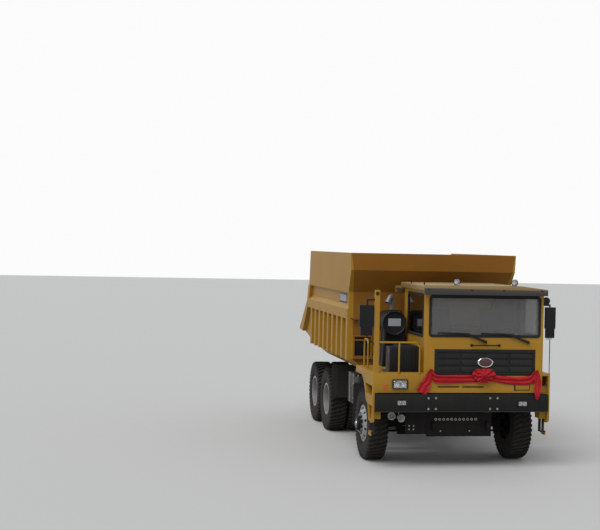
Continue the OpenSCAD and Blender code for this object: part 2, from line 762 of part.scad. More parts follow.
module left_steps() color(yellow) rig() difference() {
    union() {
        side_plate(deck_side - side_t, deck_side)
            polygon([[-cab_front_y, deck_z], [-330, deck_z], [-330, deck_z - 125], [-480, 1580], [-610, 1430],
                [-700, 1240], [-880, 1180], [-960, 900], [-1190, 860], [-cab_front_y, 900]]);
        block([cab_left, -cab_front_y, deck_z - deck_t], [deck_side - side_t + 1, -330, deck_z]);
        hung_step();
    }
    for (i = [0, 1]) block([deck_side - side_t - 1, step_y[0], step_z[i]],
        [deck_side + 1, step_y[1], step_z[i] + step_h[i]]);
}

// Guard rail over the apron, handrail loop on the deck's edge, and the tall corner post.
post = [-1690, -1600];
post_top = 3320;
module tube(points) {
    for (i = [0:len(points) - 2]) {
        a = points[i];
        b = points[i + 1];
        d = b - a;
        translate(a) rotate([0, acos(d[2] / norm(d)), atan2(d[1], d[0])]) cylinder(r = tube_r, h = norm(d));
    }
    for (i = [1:len(points) - 2]) translate(points[i]) sphere(r = tube_r * 1.04);
}
module handrails() color(yellow) rig() {
    block([post[0], -cab_front_y, deck_z], [post[1], -cab_front_y + 60, post_top]);
    y = -cab_front_y + 30;
    tube([[post[1] - 10, y, guard_z], [-900, y, guard_z], [-820, y, guard_z - 80], [-820, y, deck_z]]);
    tube([[-1210, y, deck_z], [-1210, y, guard_z]]);
    x = -deck_side + 25;
    tube([[x, -450, deck_z], [x, -450, 2270], [x, -390, 2340], [x, -190, 2340], [x, -130, 2270],
        [x, -130, deck_z]]);
}

// Mirrors on arms from the post and from the cab's left front pillar.
mirror_y = -cab_front_y + 30;
mirror_t = 30;
mirror_z = 2640;
mirror_top = 3040;
arm_top = 3080;
// One mirror over a smaller wide-angle one, and the arm that they hang on.
module mirror_pair(x, low, from_x, arm_x) {
    block([x - 120, mirror_y - mirror_t, mirror_z], [x + 120, mirror_y + mirror_t, mirror_top]);
    block([x - 100, mirror_y - mirror_t, low], [x + 100, mirror_y + mirror_t, mirror_z + 1]);
    tube([[arm_x, mirror_y, low + 20], [arm_x, mirror_y, arm_top], [from_x, mirror_y, arm_top]]);
}
module mirrors() color(black) rig() {
    mirror_pair(-1840, 2480, post[0], -1830);
    mirror_pair(1750, 2420, cab_left, 1740);
}

// Engine air cleaner: a drum over a box, behind the guard rail.
cleaner_x = -1030;
cleaner_z = 2640;
cleaner_r = 225;
module air_cleaner() color(black) rig() {
    bar_y(cleaner_r, -100, 620, cleaner_x, cleaner_z);
    bar_y(cleaner_r + 12, -130, -70, cleaner_x, cleaner_z);
    block([-1250, -80, deck_z], [-cab_right - 30, 200, 2440]);
}

// Louvred cover beside the cab.
module side_box() color(dark) rig() {
    block([-1090, -950, deck_z], [-cab_right - 15, -250, 2260]);
    for (i = [0:5]) block([-1085 + i * 56, -970, deck_z + 30], [-1085 + i * 56 + 30, -949, 2240]);
}

exhaust_x = -1000;
module exhaust() color(silver) rig() {
    y = exhaust_arm_y + 50;
    bar_z(110, rail_top + 80, 2150, exhaust_x, y);
    bar_z(60, 2149, 2950, exhaust_x, y);
    translate([exhaust_x, y, 2930]) rotate([-35, 0, 0]) cylinder(r = 70, h = 240);
}

// Headlamps, bumper lamps and the two work lamps on the roof.
module lamps() color(silver) rig() {
    both_sides() block([1043, -cab_front_y - 20, 1500], [1338, -cab_front_y, 1680]);
    for (x = [-1241, 1076]) block([x, -bumper_front - 12, 1190], [x + 176, -bumper_front, 1290]);
    both_sides() block([200, frame_end, 1080], [340, frame_end + 40, 1180]);
    for (x = [-173, 941]) {
        bar_y(58, -cab_front_y - 110, -cab_front_y - 30, x, roof_z + roof_t + 70);
        block([x - 15, -cab_front_y - 90, roof_z + roof_t],
            [x + 15, -cab_front_y - 50, roof_z + roof_t + 30]);
    }
}

// Cloth sash tied across the front, with a gathered rosette and two hanging tails.
module sash() color("#c01830") rig() {
    y = -cab_front_y - seat;
    block([-610, y - 34, 1700], [1390, y, 1800]);
    translate([420, y - 33, 1790]) rotate([90, 0, 0]) cylinder(r = 190, h = 70);
    block([-790, y - 34, 1450], [-600, y, 1790]);
    block([1380, y - 110, 1300], [1480, y - bumper_front + cab_front_y - seat, 1480]);
    block([1380, y - 110, 1430], [1480, y, 1800]);
}

// Bed. Its cross section is drawn in (X, Z), its side outline in (Y, Z).
bed_in = bed_half - plate;
rail_outer = bed_half + rib_d;
rail_h = 195;
board_x = bed_half + 20;
rib_w = 170;
rib_pitch = (tail_bend - 120 - rib_w - bed_front_y) / (rib_n - 1);
board_top = 3170;
fold_z = 3190;
lip_z = 3640;
lip_y = 850;
top_out = bed_half + 120;
slope_dz = (tail_y - tail_bend) * tan(tail_slope);
floor_half = 1250;

// Rear edge of a side from its tip to its top.
edge_z = [side_z + slope_dz, 2800, 3460, bed_top];
edge_y = [tail_y, tail_bend + 430, tail_bend + 150, tail_bend - 70];
post_w = 230;

module side_outline_bed() {
    polygon([[bed_front_y, side_z], [tail_bend, side_z], [edge_y[0], edge_z[0]], [edge_y[1], edge_z[1]],
        [edge_y[2], edge_z[2]], [edge_y[3], edge_z[3]], [lip_y, bed_top], [lip_y, lip_z],
        [bed_front_y, fold_z]]);
}

// Inner faces of both sides, as an outline in (X, Z).
module bed_space() {
    polygon([[-bed_in, side_z], [bed_in, side_z], [bed_in, board_top], [top_out - plate, bed_top],
        [-top_out + plate, bed_top], [-bed_in, board_top]]);
}

module bed_side() {
    intersection() {
        cross_plate(lip_y - 10, tail_y + 10)
            polygon([[bed_in, side_z], [bed_half, side_z], [bed_half, srail_z], [rail_outer, srail_z],
                [rail_outer, srail_z + rail_h], [board_x, srail_z + rail_h + 85], [board_x, board_top],
                [board_x + 60, board_top], [top_out, bed_top], [top_out - plate, bed_top],
                [bed_in, board_top]]);
        side_plate(bed_in - 1, top_out + 1) side_outline_bed();
    }
    for (i = [0:rib_n - 1])
        cross_plate(bed_front_y + i * rib_pitch, bed_front_y + i * rib_pitch + rib_w)
            polygon([[bed_half - 1, side_z + 2], [bed_half, side_z], [bed_half + 1, side_z - 25],
                [bed_half + rib_d, side_z - 25], [bed_half + rib_d, srail_z + 1],
                [bed_half - 1, srail_z + 1]]);
    // The post along the rear edge, and the end plate of the recess over the side rail.
    side_plate(bed_half - 1, bed_half + rib_d)
        polygon([[edge_y[0] - 20, edge_z[0] + 1], [edge_y[1], edge_z[1]], [edge_y[2] + 120, board_top + 1],
            [edge_y[2] + 120 - post_w, board_top + 1], [edge_y[1] - post_w, edge_z[1]],
            [edge_y[0] - 470, edge_z[0] - 40]]);
    block([bed_half - 1, bed_front_y, srail_z + rail_h], [board_x + 60, bed_front_y + plate, board_top + 1]);
}

module bed_sides() color(yellow) rig() both_sides() bed_side();

module floor_section() {
    polygon([[-bed_half, side_z], [-floor_half, floor_z], [floor_half, floor_z], [bed_half, side_z],
        [bed_in, side_z], [floor_half - 8, floor_z + plate], [-floor_half + 8, floor_z + plate],
        [-bed_in, side_z]]);
}

// Turns a shape about the line where the sides' lower edge bends up to the tail.
module at_bend(a) {
    translate([0, tail_bend, side_z]) rotate([a, 0, 0]) translate([0, -tail_bend, -side_z]) children();
}

big = 2 * tail_y;
floor_bend = tail_bend + (side_z - floor_z) * tan(tail_slope / 2);
function floor_at(y) = floor_z + 5 + max(0, y - floor_bend) * tan(tail_slope);

module floor_plates() {
    difference() {
        cross_plate(bed_front_y + plate, tail_bend + 400) floor_section();
        at_bend(tail_slope / 2) block([-big, tail_bend, 0], [big, big, big]);
    }
    difference() {
        at_bend(tail_slope) cross_plate(tail_bend - 300, tail_y + 300) floor_section();
        at_bend(tail_slope / 2) block([-big, -big, 0], [big, tail_bend, big]);
        block([-big, tail_y - 40, 0], [big, big, big]);
    }
}

sill_in = rail_out - rail_w;
sill_end = tail_bend - 10;
module bed_floor() color(yellow) rig() difference() {
    union() {
        floor_plates();
        both_sides() {
            side_plate(sill_in, rail_out)
                polygon([[bed_front_y + 60, rail_top + seat], [sill_end, rail_top + seat],
                    [sill_end, floor_at(0)], [bed_front_y + 60, floor_at(0)]]);
            for (x = [bracket_in - ear_gap - ear_t, ear_out_1]) side_plate(x, x + ear_t) {
                translate([hinge_y, hinge_z]) circle(r = ear_r);
                polygon([[hinge_y - 160, floor_at(hinge_y - 160)], [hinge_y + 160, floor_at(hinge_y + 160)],
                    [hinge_y + ear_r, hinge_z], [hinge_y - ear_r, hinge_z]]);
            }
            for (x = [hoist_x - lug_in - lug_t, hoist_x + lug_in]) side_plate(x, x + lug_t) {
                translate([eye_y, eye_z]) circle(r = eye_lug_r);
                polygon([[eye_y - 130, floor_at(0)], [eye_y + 130, floor_at(0)], [eye_y + eye_lug_r, eye_z],
                    [eye_y - eye_lug_r, eye_z]]);
            }
        }
    }
    both_sides() bar_x(hinge_r + run, pin_in - 1, pin_out + 1, hinge_y, hinge_z);
}

module bed_front() color(yellow) rig() {
    intersection() {
        side_plate(-top_out, top_out)
            polygon([[bed_front_y, side_z], [bed_front_y + plate, side_z], [bed_front_y + plate, fold_z],
                [lip_y + plate, lip_z], [lip_y + plate, bed_top], [lip_y, bed_top], [lip_y, lip_z - 4],
                [bed_front_y, fold_z - 4]]);
        cross_plate(lip_y - 1, bed_front_y + plate + 1) bed_space();
    }
    cross_plate(bed_front_y, bed_front_y + plate)
        polygon([[-bed_in + 2, side_z + 1], [-bed_in, side_z], [-bed_half + 8, side_z - 5],
            [-floor_half, floor_z], [floor_half, floor_z], [bed_half - 8, side_z - 5], [bed_in, side_z],
            [bed_in - 2, side_z + 1]]);
    front_frame();
}

// Two beams across the front wall, and a frame of bars round a panel at each side.
beam_d = 60;
bar = 30;
panel_in = 1180;
module front_frame() {
    y = bed_front_y - beam_d;
    for (z = [side_z, srail_z]) block([-bed_in + 1, y, z], [bed_in - 1, bed_front_y + 1, z + 60]);
    both_sides() {
        for (x = [panel_in, bed_in - bar]) block([x, y, side_z + 59], [x + bar, bed_front_y + 1, 2310]);
        for (z = [2200, 2280]) block([panel_in + 1, y, z], [bed_in - 1, bed_front_y + 1, z + bar]);
    }
}

// Twin telescopic hoists: each is a barrel, three tubes and a rod, one sliding in the other.
barrel_from = 90;
barrel_top = hoist_len - 130;
hoist_eye_r = 52;
tube_floor = 8;
collar = 15;

module along_hoist() {
    both_sides() translate([hoist_x, foot_y, foot_z]) rotate([hoist_angle, 0, 0]) children();
}

function tube_radius(i) = barrel_r - i * tube_wall;
function tube_from(i) = barrel_from + 12 + i * (tube_floor + gap);

// Tube number i from the outside; the barrel is number 0 and the rod number 4.
module hoist_tube(i) {
    difference() {
        bar_y(tube_radius(i), tube_from(i), barrel_top + i * collar, 0, 0);
        bar_y(tube_radius(i + 1) + run, tube_from(i) + tube_floor, hoist_len, 0, 0);
    }
}

module hoist_barrels() color(dark) rig() along_hoist() difference() {
    union() {
        bar_x(hoist_eye_r, -hoist_eye / 2, hoist_eye / 2, 0, 0);
        bar_y(45, 20, barrel_from + 1, 0, 0);
        bar_y(barrel_r, barrel_from, barrel_top, 0, 0);
    }
    bar_x(hpin_r + run, -hoist_eye, hoist_eye, 0, 0);
    bar_y(tube_radius(1) + run, barrel_from + 20, hoist_len, 0, 0);
}

module hoist_tubes_1() color(silver) rig() along_hoist() hoist_tube(1);
module hoist_tubes_2() color(silver) rig() along_hoist() hoist_tube(2);
module hoist_tubes_3() color(silver) rig() along_hoist() hoist_tube(3);
module hoist_rods() color(silver) rig() along_hoist() {
    bar_y(tube_radius(4), tube_from(4), hoist_len - 30, 0, 0);
    bar_x(hoist_eye_r + 1, -hoist_eye / 2, hoist_eye / 2, hoist_len, 0);
}

frame_rails();
cross_members();
bumper();
axles();
drive_shafts();
springs();
engine();
tanks();
knuckle_left();
knuckle_right();
tie_rod();
tyre_front_left();
rim_front_left();
tyre_front_right();
rim_front_right();
tyres_rear_1_left();
rims_rear_1_left();
tyres_rear_1_right();
rims_rear_1_right();
tyres_rear_2_left();
rims_rear_2_left();
tyres_rear_2_right();
rims_rear_2_right();
cab_floor();
cab_front();
cab_sides();
cab_back();
cab_roof();
cab_glass();
grille();
dashboard();
seats();
door();
door_glass();
right_deck();
left_steps();
handrails();
mirrors();
air_cleaner();
side_box();
exhaust();
lamps();
sash();
bed_floor();
bed_front();
bed_sides();
hoist_barrels();
hoist_tubes_1();
hoist_tubes_2();
hoist_tubes_3();
hoist_rods();
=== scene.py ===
import json
import math
import random
from contextlib import contextmanager

import bpy
from mathutils import Matrix, Vector

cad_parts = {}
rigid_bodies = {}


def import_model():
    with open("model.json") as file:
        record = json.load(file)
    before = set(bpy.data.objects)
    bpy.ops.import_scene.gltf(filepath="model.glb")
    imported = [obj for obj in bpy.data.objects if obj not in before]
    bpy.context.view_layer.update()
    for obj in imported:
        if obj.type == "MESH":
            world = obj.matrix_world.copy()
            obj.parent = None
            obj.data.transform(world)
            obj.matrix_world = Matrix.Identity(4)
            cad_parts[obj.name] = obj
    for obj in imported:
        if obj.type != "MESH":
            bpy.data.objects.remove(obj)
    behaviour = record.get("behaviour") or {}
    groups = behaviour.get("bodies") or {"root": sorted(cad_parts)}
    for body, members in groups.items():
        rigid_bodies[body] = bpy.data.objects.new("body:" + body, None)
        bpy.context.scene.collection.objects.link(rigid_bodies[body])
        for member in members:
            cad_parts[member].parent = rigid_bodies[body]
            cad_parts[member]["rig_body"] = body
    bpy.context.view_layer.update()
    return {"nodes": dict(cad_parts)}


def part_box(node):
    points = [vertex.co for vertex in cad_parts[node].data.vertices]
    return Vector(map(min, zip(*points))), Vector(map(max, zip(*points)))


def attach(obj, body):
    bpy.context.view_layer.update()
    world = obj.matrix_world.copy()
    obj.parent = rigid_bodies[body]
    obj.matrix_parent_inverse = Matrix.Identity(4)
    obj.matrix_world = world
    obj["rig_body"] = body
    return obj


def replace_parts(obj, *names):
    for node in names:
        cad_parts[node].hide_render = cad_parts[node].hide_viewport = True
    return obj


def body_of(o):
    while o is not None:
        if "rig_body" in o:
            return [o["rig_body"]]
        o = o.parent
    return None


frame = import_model()
nodes = frame["nodes"]
scene = bpy.context.scene

# The camera stands far off to the truck's right front, at about the height of the bed's top edge,
# and looks along the truck with a long lens.
# It is turned a little clockwise, as the photograph is.
camera_at = Vector((-6.881, -27.016, 4.128))
yaw, pitch, roll = 0.1638, 0.0162, 0.0203
ahead = Vector((math.sin(yaw) * math.cos(pitch), math.cos(yaw) * math.cos(pitch), -math.sin(pitch)))
side = Vector((math.cos(yaw), -math.sin(yaw), 0))
over = side.cross(ahead)
right = side * math.cos(roll) + over * math.sin(roll)
up = over * math.cos(roll) - side * math.sin(roll)
turn = Matrix((right, up, -ahead)).transposed().to_4x4()
bpy.ops.object.camera_add()
camera = bpy.context.object
camera.matrix_world = Matrix.Translation(camera_at) @ turn
camera.data.sensor_width = 36
camera.data.lens = 76.68
camera.data.clip_start, camera.data.clip_end = 0.5, 400
scene.camera = camera

# A pale floor under the wheels. The sky's light comes mostly from above, as on an overcast day,
# and one broad, soft sun gives the shadow under the truck.
# What the camera sees behind the truck is plain white.
def feed(node, inputs):
    """Sets a shading node's inputs, each to a plain value or to another node's output."""
    for name, value in inputs.items():
        if isinstance(value, bpy.types.NodeSocket):
            node.id_data.links.new(value, node.inputs[name])
        else:
            node.inputs[name].default_value = value


def added(tree, kind, inputs, **settings):
    """Adds a shading node and gives its outputs. Its settings come first, as they decide its inputs."""
    node = tree.nodes.new("ShaderNode" + kind)
    for setting, value in settings.items():
        setattr(node, setting, value)
    feed(node, inputs)
    return node.outputs


def reckoned(tree, operation, *inputs, **settings):
    """Adds a shading node that works out one number from up to three others."""
    return added(tree, "Math", dict(enumerate(inputs)), operation=operation, **settings)["Value"]


def new_finish(name):
    """A new material, with its node tree and the shader in it."""
    finish = bpy.data.materials.new(name)
    finish.use_nodes = True
    return finish, finish.node_tree, finish.node_tree.nodes["Principled BSDF"]


bpy.ops.mesh.primitive_plane_add(size=240)
ground = bpy.context.object
ground.name = "ground"
concrete, _, concrete_shader = new_finish("pale floor")
feed(concrete_shader, {"Base Color": (0.5, 0.5, 0.49, 1), "Roughness": 0.85})
ground.data.materials.append(concrete)
sky = bpy.data.worlds.new("sky")
scene.world = sky
sky.use_nodes = True
dome = sky.node_tree
dome.nodes.clear()
ray = added(dome, "LightPath", {})
seen = reckoned(dome, "MAXIMUM", ray["Is Camera Ray"], ray["Is Glossy Ray"])
seen = reckoned(dome, "MAXIMUM", seen, ray["Is Transmission Ray"])
overcast = added(dome, "Background", {"Color": (0.93, 0.96, 1.0, 1), "Strength": 0.55})["Background"]
white = added(dome, "Background", {"Color": (0.97, 0.97, 0.97, 1)})["Background"]
backdrop = added(dome, "MixShader", {0: seen, 1: overcast, 2: white})["Shader"]
added(dome, "OutputWorld", {"Surface": backdrop})
bpy.ops.object.light_add(type="SUN", rotation=(math.radians(28), math.radians(-24), 0))
sun = bpy.context.object
sun.data.energy = 1.9
sun.data.angle = math.radians(40)
scene.view_settings.view_transform = "Standard"


# Chassis rails, cross members, axles, springs and shafts: rolled and cast steel in satin black
# paint, with road dust that thickens towards the ground.
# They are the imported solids, and the rails and cross members have their edges eased.
def tone(red, green, blue):
    """A colour written as 0 to 255 on a screen."""
    linear = []
    for value in (red, green, blue):
        value /= 255
        linear.append(value / 12.92 if value <= 0.04045 else ((value + 0.055) / 1.055) ** 2.4)
    return (*linear, 1)


def speckle(tree, place, scale, detail=2):
    """Adds a cloudy pattern, finer with a greater scale."""
    return added(tree, "TexNoise", {"Vector": place, "Scale": scale, "Detail": detail})["Fac"]


def blend(tree, share, colour, other):
    """Adds a mix of two colours, by the share of the second."""
    return added(tree, "Mix", {"Factor": share, "A": colour, "B": other}, data_type="RGBA")["Result"]


def deeper(tree, colour, share):
    """Adds the same colour, darker or lighter by a share."""
    return added(tree, "VectorMath", {0: colour, "Scale": share}, operation="SCALE")["Vector"]


def shared_group(name, inputs, outputs=("Colour", "Roughness", "Height")):
    """A group of shading nodes for materials to share. It puts out what changes over the surface."""
    group = bpy.data.node_groups.new(name, "ShaderNodeTree")
    kinds = {"Colour": "NodeSocketColor"}
    for label, value in inputs.items():
        kind = kinds.get(label, "NodeSocketFloat")
        group.interface.new_socket(label, in_out="INPUT", socket_type=kind).default_value = value
    for label in outputs:
        group.interface.new_socket(label, in_out="OUTPUT", socket_type=kinds.get(label, "NodeSocketFloat"))
    return group, group.nodes.new("NodeGroupInput").outputs, added(group, "TexCoord", {})["Object"]


def paint_group():
    """Paint with its faint mottling, its orange peel, small chips and the dust that settles low down."""
    group, given, place = shared_group(
        "paint on metal", {"Colour": (1, 1, 1, 1), "Dust": 0.3, "Chips": 0.1, "Roughness": 0.4})
    mottle = speckle(group, place, 1.4, 5)
    shade = added(group, "MapRange", {"Value": mottle, "To Min": 0.86, "To Max": 1.1})["Result"]
    tint = deeper(group, given["Colour"], shade)
    stretch = added(group, "Mapping", {"Vector": place, "Scale": (3, 3, 0.35)})["Vector"]
    streaks = speckle(group, stretch, 5, 6)
    height = added(group, "SeparateXYZ", {"Vector": place})["Z"]
    low = added(group, "MapRange", {"Value": height, "From Min": 3.2, "From Max": 0.2})["Result"]
    settled = reckoned(group, "MULTIPLY", low, streaks)
    amount = reckoned(group, "MULTIPLY", settled, given["Dust"], use_clamp=True)
    dusty = blend(group, amount, tint, tone(138, 128, 112))
    chip = speckle(group, place, 38, 4)
    bare = added(group, "MapRange", {"Value": chip, "From Min": 0.7, "From Max": 0.74})["Result"]
    worn = reckoned(group, "MULTIPLY", bare, given["Chips"])
    chipped = blend(group, worn, dusty, tone(70, 62, 54))
    rough = reckoned(group, "MULTIPLY_ADD", amount, 0.45, given["Roughness"])
    peel = speckle(group, place, 90)
    dent = reckoned(group, "MULTIPLY_ADD", mottle, 6, peel)
    feed(group.nodes.new("NodeGroupOutput"), {"Colour": chipped, "Roughness": rough, "Height": dent})
    return group


paint_on_metal = paint_group()


def layered(name, group, inputs, strength, distance, settings):
    """A material whose colour and relief come from a shared group, and its roughness too where it varies."""
    finish, tree, shader = new_finish(name)
    layer = added(tree, "Group", inputs, node_tree=group)
    relief = added(tree, "Bump", {"Height": layer["Height"], "Strength": strength, "Distance": distance})
    feed(shader, {"Base Color": layer["Colour"], "Normal": relief["Normal"], **settings})
    if "Roughness" in layer:
        feed(shader, {"Roughness": layer["Roughness"]})
    return finish


def painted(name, colour, rough, dust=0.2, chips=0.1, coat=0.0, metallic=0.0, bump=0.0012, shine=0.5):
    """Painted or bare metal, rubber or plastic, with mottling, dust and chips."""
    return layered(name, paint_on_metal, {"Colour": colour, "Dust": dust, "Chips": chips, "Roughness": rough},
                   0.25, bump, {"Metallic": metallic, "Specular IOR Level": shine,
                                "Coat Weight": coat, "Coat Roughness": 0.12})


def wear(finish, *names):
    """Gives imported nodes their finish."""
    for name in names:
        nodes[name].data.materials.clear()
        nodes[name].data.materials.append(finish)


chassis_black = painted("chassis black", tone(9, 9, 10), 0.6, dust=0.05, chips=0.15, shine=0.12)
wear(chassis_black, "axles", "springs", "drive_shafts", "knuckle_left", "knuckle_right", "tie_rod")
front_axle = -2.845
rear_axles = (1.045, 2.525)
track_half, twin_pitch, wheel_z = 1.42, 0.43, 0.69


@contextmanager
def editing():
    """Opens the active piece in edit mode with all of it selected, and closes it when the work is done."""
    bpy.ops.object.mode_set(mode="EDIT")
    bpy.ops.mesh.select_all(action="SELECT")
    yield
    bpy.ops.object.mode_set(mode="OBJECT")


def outward():
    """Makes the faces of the piece in edit mode point outwards."""
    bpy.ops.mesh.select_all(action="SELECT")
    bpy.ops.mesh.normals_make_consistent(inside=False)


def loose():
    """Leaves nothing selected, so that what follows acts on the next piece alone."""
    bpy.ops.object.select_all(action="DESELECT")


def picked(piece):
    """Makes a piece the only selected one and the active one."""
    loose()
    piece.select_set(True)
    bpy.context.view_layer.objects.active = piece
    return piece


def applied():
    """Puts the selected object's place, turn and size into its mesh."""
    bpy.ops.object.transform_apply(location=True, rotation=True, scale=True)
    return bpy.context.object


def slab(low, high):
    """Adds a block between two corners, ready to be shaped."""
    loose()
    low, high = Vector(low), Vector(high)
    bpy.ops.mesh.primitive_cube_add(size=1, location=(low + high) / 2)
    bpy.context.object.scale = high - low
    return applied()


@contextmanager
def grasping(piece, test):
    """Opens a piece in edit mode with just the faces that pass a test selected, and closes it again."""
    bpy.context.view_layer.objects.active = piece
    with editing():
        bpy.ops.mesh.select_mode(type="FACE")
        bpy.ops.mesh.select_all(action="DESELECT")
    for face in piece.data.polygons:
        face.select = test(face)
    bpy.ops.object.mode_set(mode="EDIT")
    yield
    bpy.ops.object.mode_set(mode="OBJECT")


def drawn_out(*shift):
    """Extrudes the selected faces."""
    bpy.ops.mesh.extrude_region_move(TRANSFORM_OT_translate={"value": shift})


def sunk(piece, facing, rim, depth):
    """Insets the faces that look one way and pushes them in, or out where depth is negative."""
    facing = Vector(facing)
    with grasping(piece, lambda face: face.normal.dot(facing) > 0.95):
        bpy.ops.mesh.inset(thickness=rim, depth=0)
        drawn_out(*(-depth * facing))
    return piece


def turned(outline, centre=(0, 0, 0), axis=(0, -1, 0), steps=48):
    """Turns a closed outline of (radius, distance along the axis) points about an axis."""
    loose()
    bpy.ops.mesh.primitive_circle_add(vertices=len(outline))
    piece = bpy.context.object
    centre, axis = Vector(centre), Vector(axis).normalized()
    across = axis.orthogonal().normalized()
    for corner, (radius, along) in zip(piece.data.vertices, outline):
        corner.co = centre + across * radius + axis * along
    with editing():
        bpy.ops.mesh.spin(steps=steps, angle=2 * math.pi, center=centre, axis=axis)
        bpy.ops.mesh.select_all(action="SELECT")
        bpy.ops.mesh.remove_doubles(threshold=0.00002)
        bpy.ops.mesh.dissolve_degenerate()
        outward()
    return piece


def panel(centre, width, height, thick, corner=0.02, ring=0.0, facing=0):
    """A plate with rounded corners, or a ring of it. It looks along -Y and is then turned about Z."""
    loose()
    bpy.ops.mesh.primitive_plane_add(size=1, rotation=(math.pi / 2, 0, 0))
    piece = bpy.context.object
    piece.scale = (width, height, 1)
    applied()
    with editing():
        if corner:
            bpy.ops.mesh.bevel(offset=corner, segments=5, affect="VERTICES")
        if ring:
            bpy.ops.mesh.select_all(action="SELECT")
            bpy.ops.mesh.inset(thickness=ring, depth=0)
            bpy.ops.mesh.delete(type="FACE")
        bpy.ops.mesh.select_all(action="SELECT")
        drawn_out(0, -thick, 0)
        outward()
    piece.location = centre
    piece.rotation_euler = (0, 0, math.radians(facing))
    return applied()


def tube(points, radius, bend=0.05):
    """A round bar or pipe along a line of points, bent at each corner."""
    loose()
    bpy.ops.curve.primitive_bezier_curve_add()
    pipe = bpy.context.object
    points = [Vector(point) for point in points]
    line = [points[0]]
    for before, corner, after in zip(points, points[1:], points[2:]):
        reach = min(bend, (before - corner).length / 2.1, (after - corner).length / 2.1)
        first = corner + (before - corner).normalized() * reach
        last = corner + (after - corner).normalized() * reach
        for step in range(7):
            share = step / 6
            line.append(first * (1 - share) ** 2 + corner * 2 * share * (1 - share) + last * share ** 2)
    line.append(points[-1])
    pipe.data.splines.clear()
    route = pipe.data.splines.new("POLY")
    route.points.add(len(line) - 1)
    for spot, place in zip(route.points, line):
        spot.co = (*place, 1)
    pipe.data.bevel_depth = radius
    pipe.data.bevel_resolution = 3
    pipe.data.use_fill_caps = True
    bpy.ops.object.convert(target="MESH")
    return bpy.context.object


def joined(*pieces):
    """Joins pieces that are welded, moulded or bolted into one."""
    picked(pieces[0])
    for piece in pieces:
        piece.select_set(True)
    if len(pieces) > 1:
        bpy.ops.object.join()
    return applied()


def twin_of(piece, place):
    """A copy of a piece, with a mesh of its own, at another place."""
    twin = piece.copy()
    twin.data = piece.data.copy()
    scene.collection.objects.link(twin)
    twin.matrix_world = place if isinstance(place, Matrix) else Matrix.Translation(place)
    return twin


def set_out(pattern, places):
    """Copies a piece that was shaped at the origin to each place, and joins the copies."""
    twins = [twin_of(pattern, place) for place in places]
    bpy.data.objects.remove(pattern)
    return joined(*twins)


def turn_about(axis, degrees):
    """A turn about one of the three axes."""
    return Matrix.Rotation(math.radians(degrees), 4, axis)


def moved_to(*spot):
    """A shift from the origin."""
    return Matrix.Translation(spot)


def both(piece):
    """A piece, or a list of pieces as one, with its twin at the truck's other side."""
    if isinstance(piece, list):
        piece = joined(*piece)
    other = joined(twin_of(piece, Matrix.Diagonal((-1, 1, 1, 1))))
    with editing():
        outward()
    return joined(piece, other)


def fitted(piece, name, finish, body="chassis", soft=0.0, steps=2, angle=25):
    """Names a shaped piece, or a list of pieces as one, eases its edges, and gives it its finish and body."""
    if isinstance(piece, list):
        piece = joined(*piece)
    picked(piece)
    piece.name = name
    if soft:
        ease = piece.modifiers.new("eased edges", "BEVEL")
        ease.width = soft
        ease.segments = steps
        ease.limit_method = "ANGLE"
        ease.angle_limit = math.radians(40)
        bpy.ops.object.modifier_apply(modifier=ease.name)
    bpy.ops.object.shade_smooth_by_angle(angle=math.radians(angle))
    piece.data.materials.clear()
    piece.data.materials.append(finish)
    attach(piece, body)
    return piece


def softened(node, finish, width=0.004, angle=25):
    """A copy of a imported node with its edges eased, as bent plate has them. It stands for the node."""
    piece = bpy.data.objects.new(node + "_finished", nodes[node].data.copy())
    scene.collection.objects.link(piece)
    picked(piece)
    with editing():
        bpy.ops.mesh.remove_doubles(threshold=0.00001)
        bpy.ops.mesh.dissolve_limited(angle_limit=math.radians(1))
        outward()
    bpy.ops.mesh.customdata_custom_splitnormals_clear()
    fitted(piece, piece.name, finish, body_of(nodes[node])[0], soft=width, angle=angle)
    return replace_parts(piece, node)


def hex_bolt(radius=0.017):
    """A bolt's chamfered head on its washer, standing on the origin and looking along -Y."""
    loose()
    bpy.ops.mesh.primitive_cylinder_add(vertices=6, radius=radius, depth=radius,
                                        location=(0, -radius / 2 - 0.003, 0), rotation=(math.pi / 2, 0, 0))
    head = sunk(applied(), (0, -1, 0), radius * 0.18, -0.002)
    washer = turned([(0.001, 0), (radius * 1.35, 0), (radius * 1.3, 0.004), (0.001, 0.004)], steps=16)
    return joined(head, washer)


for node in ("frame_rails", "cross_members"):
    softened(node, chassis_black, 0.003)
rail_side = -0.45
frame_bolts = []
for bolt_y in (-0.98, -0.3, 0.45, 0.62, 1.55, 1.7, 1.87, 2.02, 2.6):
    for bolt_z in (1.06, 1.2):
        frame_bolts.append(moved_to(rail_side, bolt_y, bolt_z) @ turn_about("Z", -90))
fitted(both(set_out(hex_bolt(0.016), frame_bolts)), "frame_bolts", chassis_black)

# Brake chambers: pressed steel pots, each clamped by a band, beside the rear axle tubes.
# A push rod runs from each one to the slack adjuster on the axle.
engine_grey = painted("engine grey", tone(44, 47, 47), 0.6, dust=0.2, chips=0.2, shine=0.25)
softened("engine", engine_grey, 0.02)
wear(engine_grey, "hoist_barrels")
brake_pots = []
for axle_y in rear_axles:
    pot = turned([(0.001, 0), (0.07, 0), (0.085, 0.02), (0.088, 0.07), (0.096, 0.075), (0.096, 0.1),
                  (0.088, 0.105), (0.085, 0.16), (0.06, 0.185), (0.001, 0.185)],
                 (-0.7, axle_y + 0.1, 0.8), (0, 1, 0), steps=28)
    rod = tube([(-0.7, axle_y + 0.105, 0.8), (-0.7, axle_y - 0.02, 0.8)], 0.014)
    brake_pots.append(joined(pot, rod))
fitted(both(brake_pots), "brake_chambers", engine_grey)

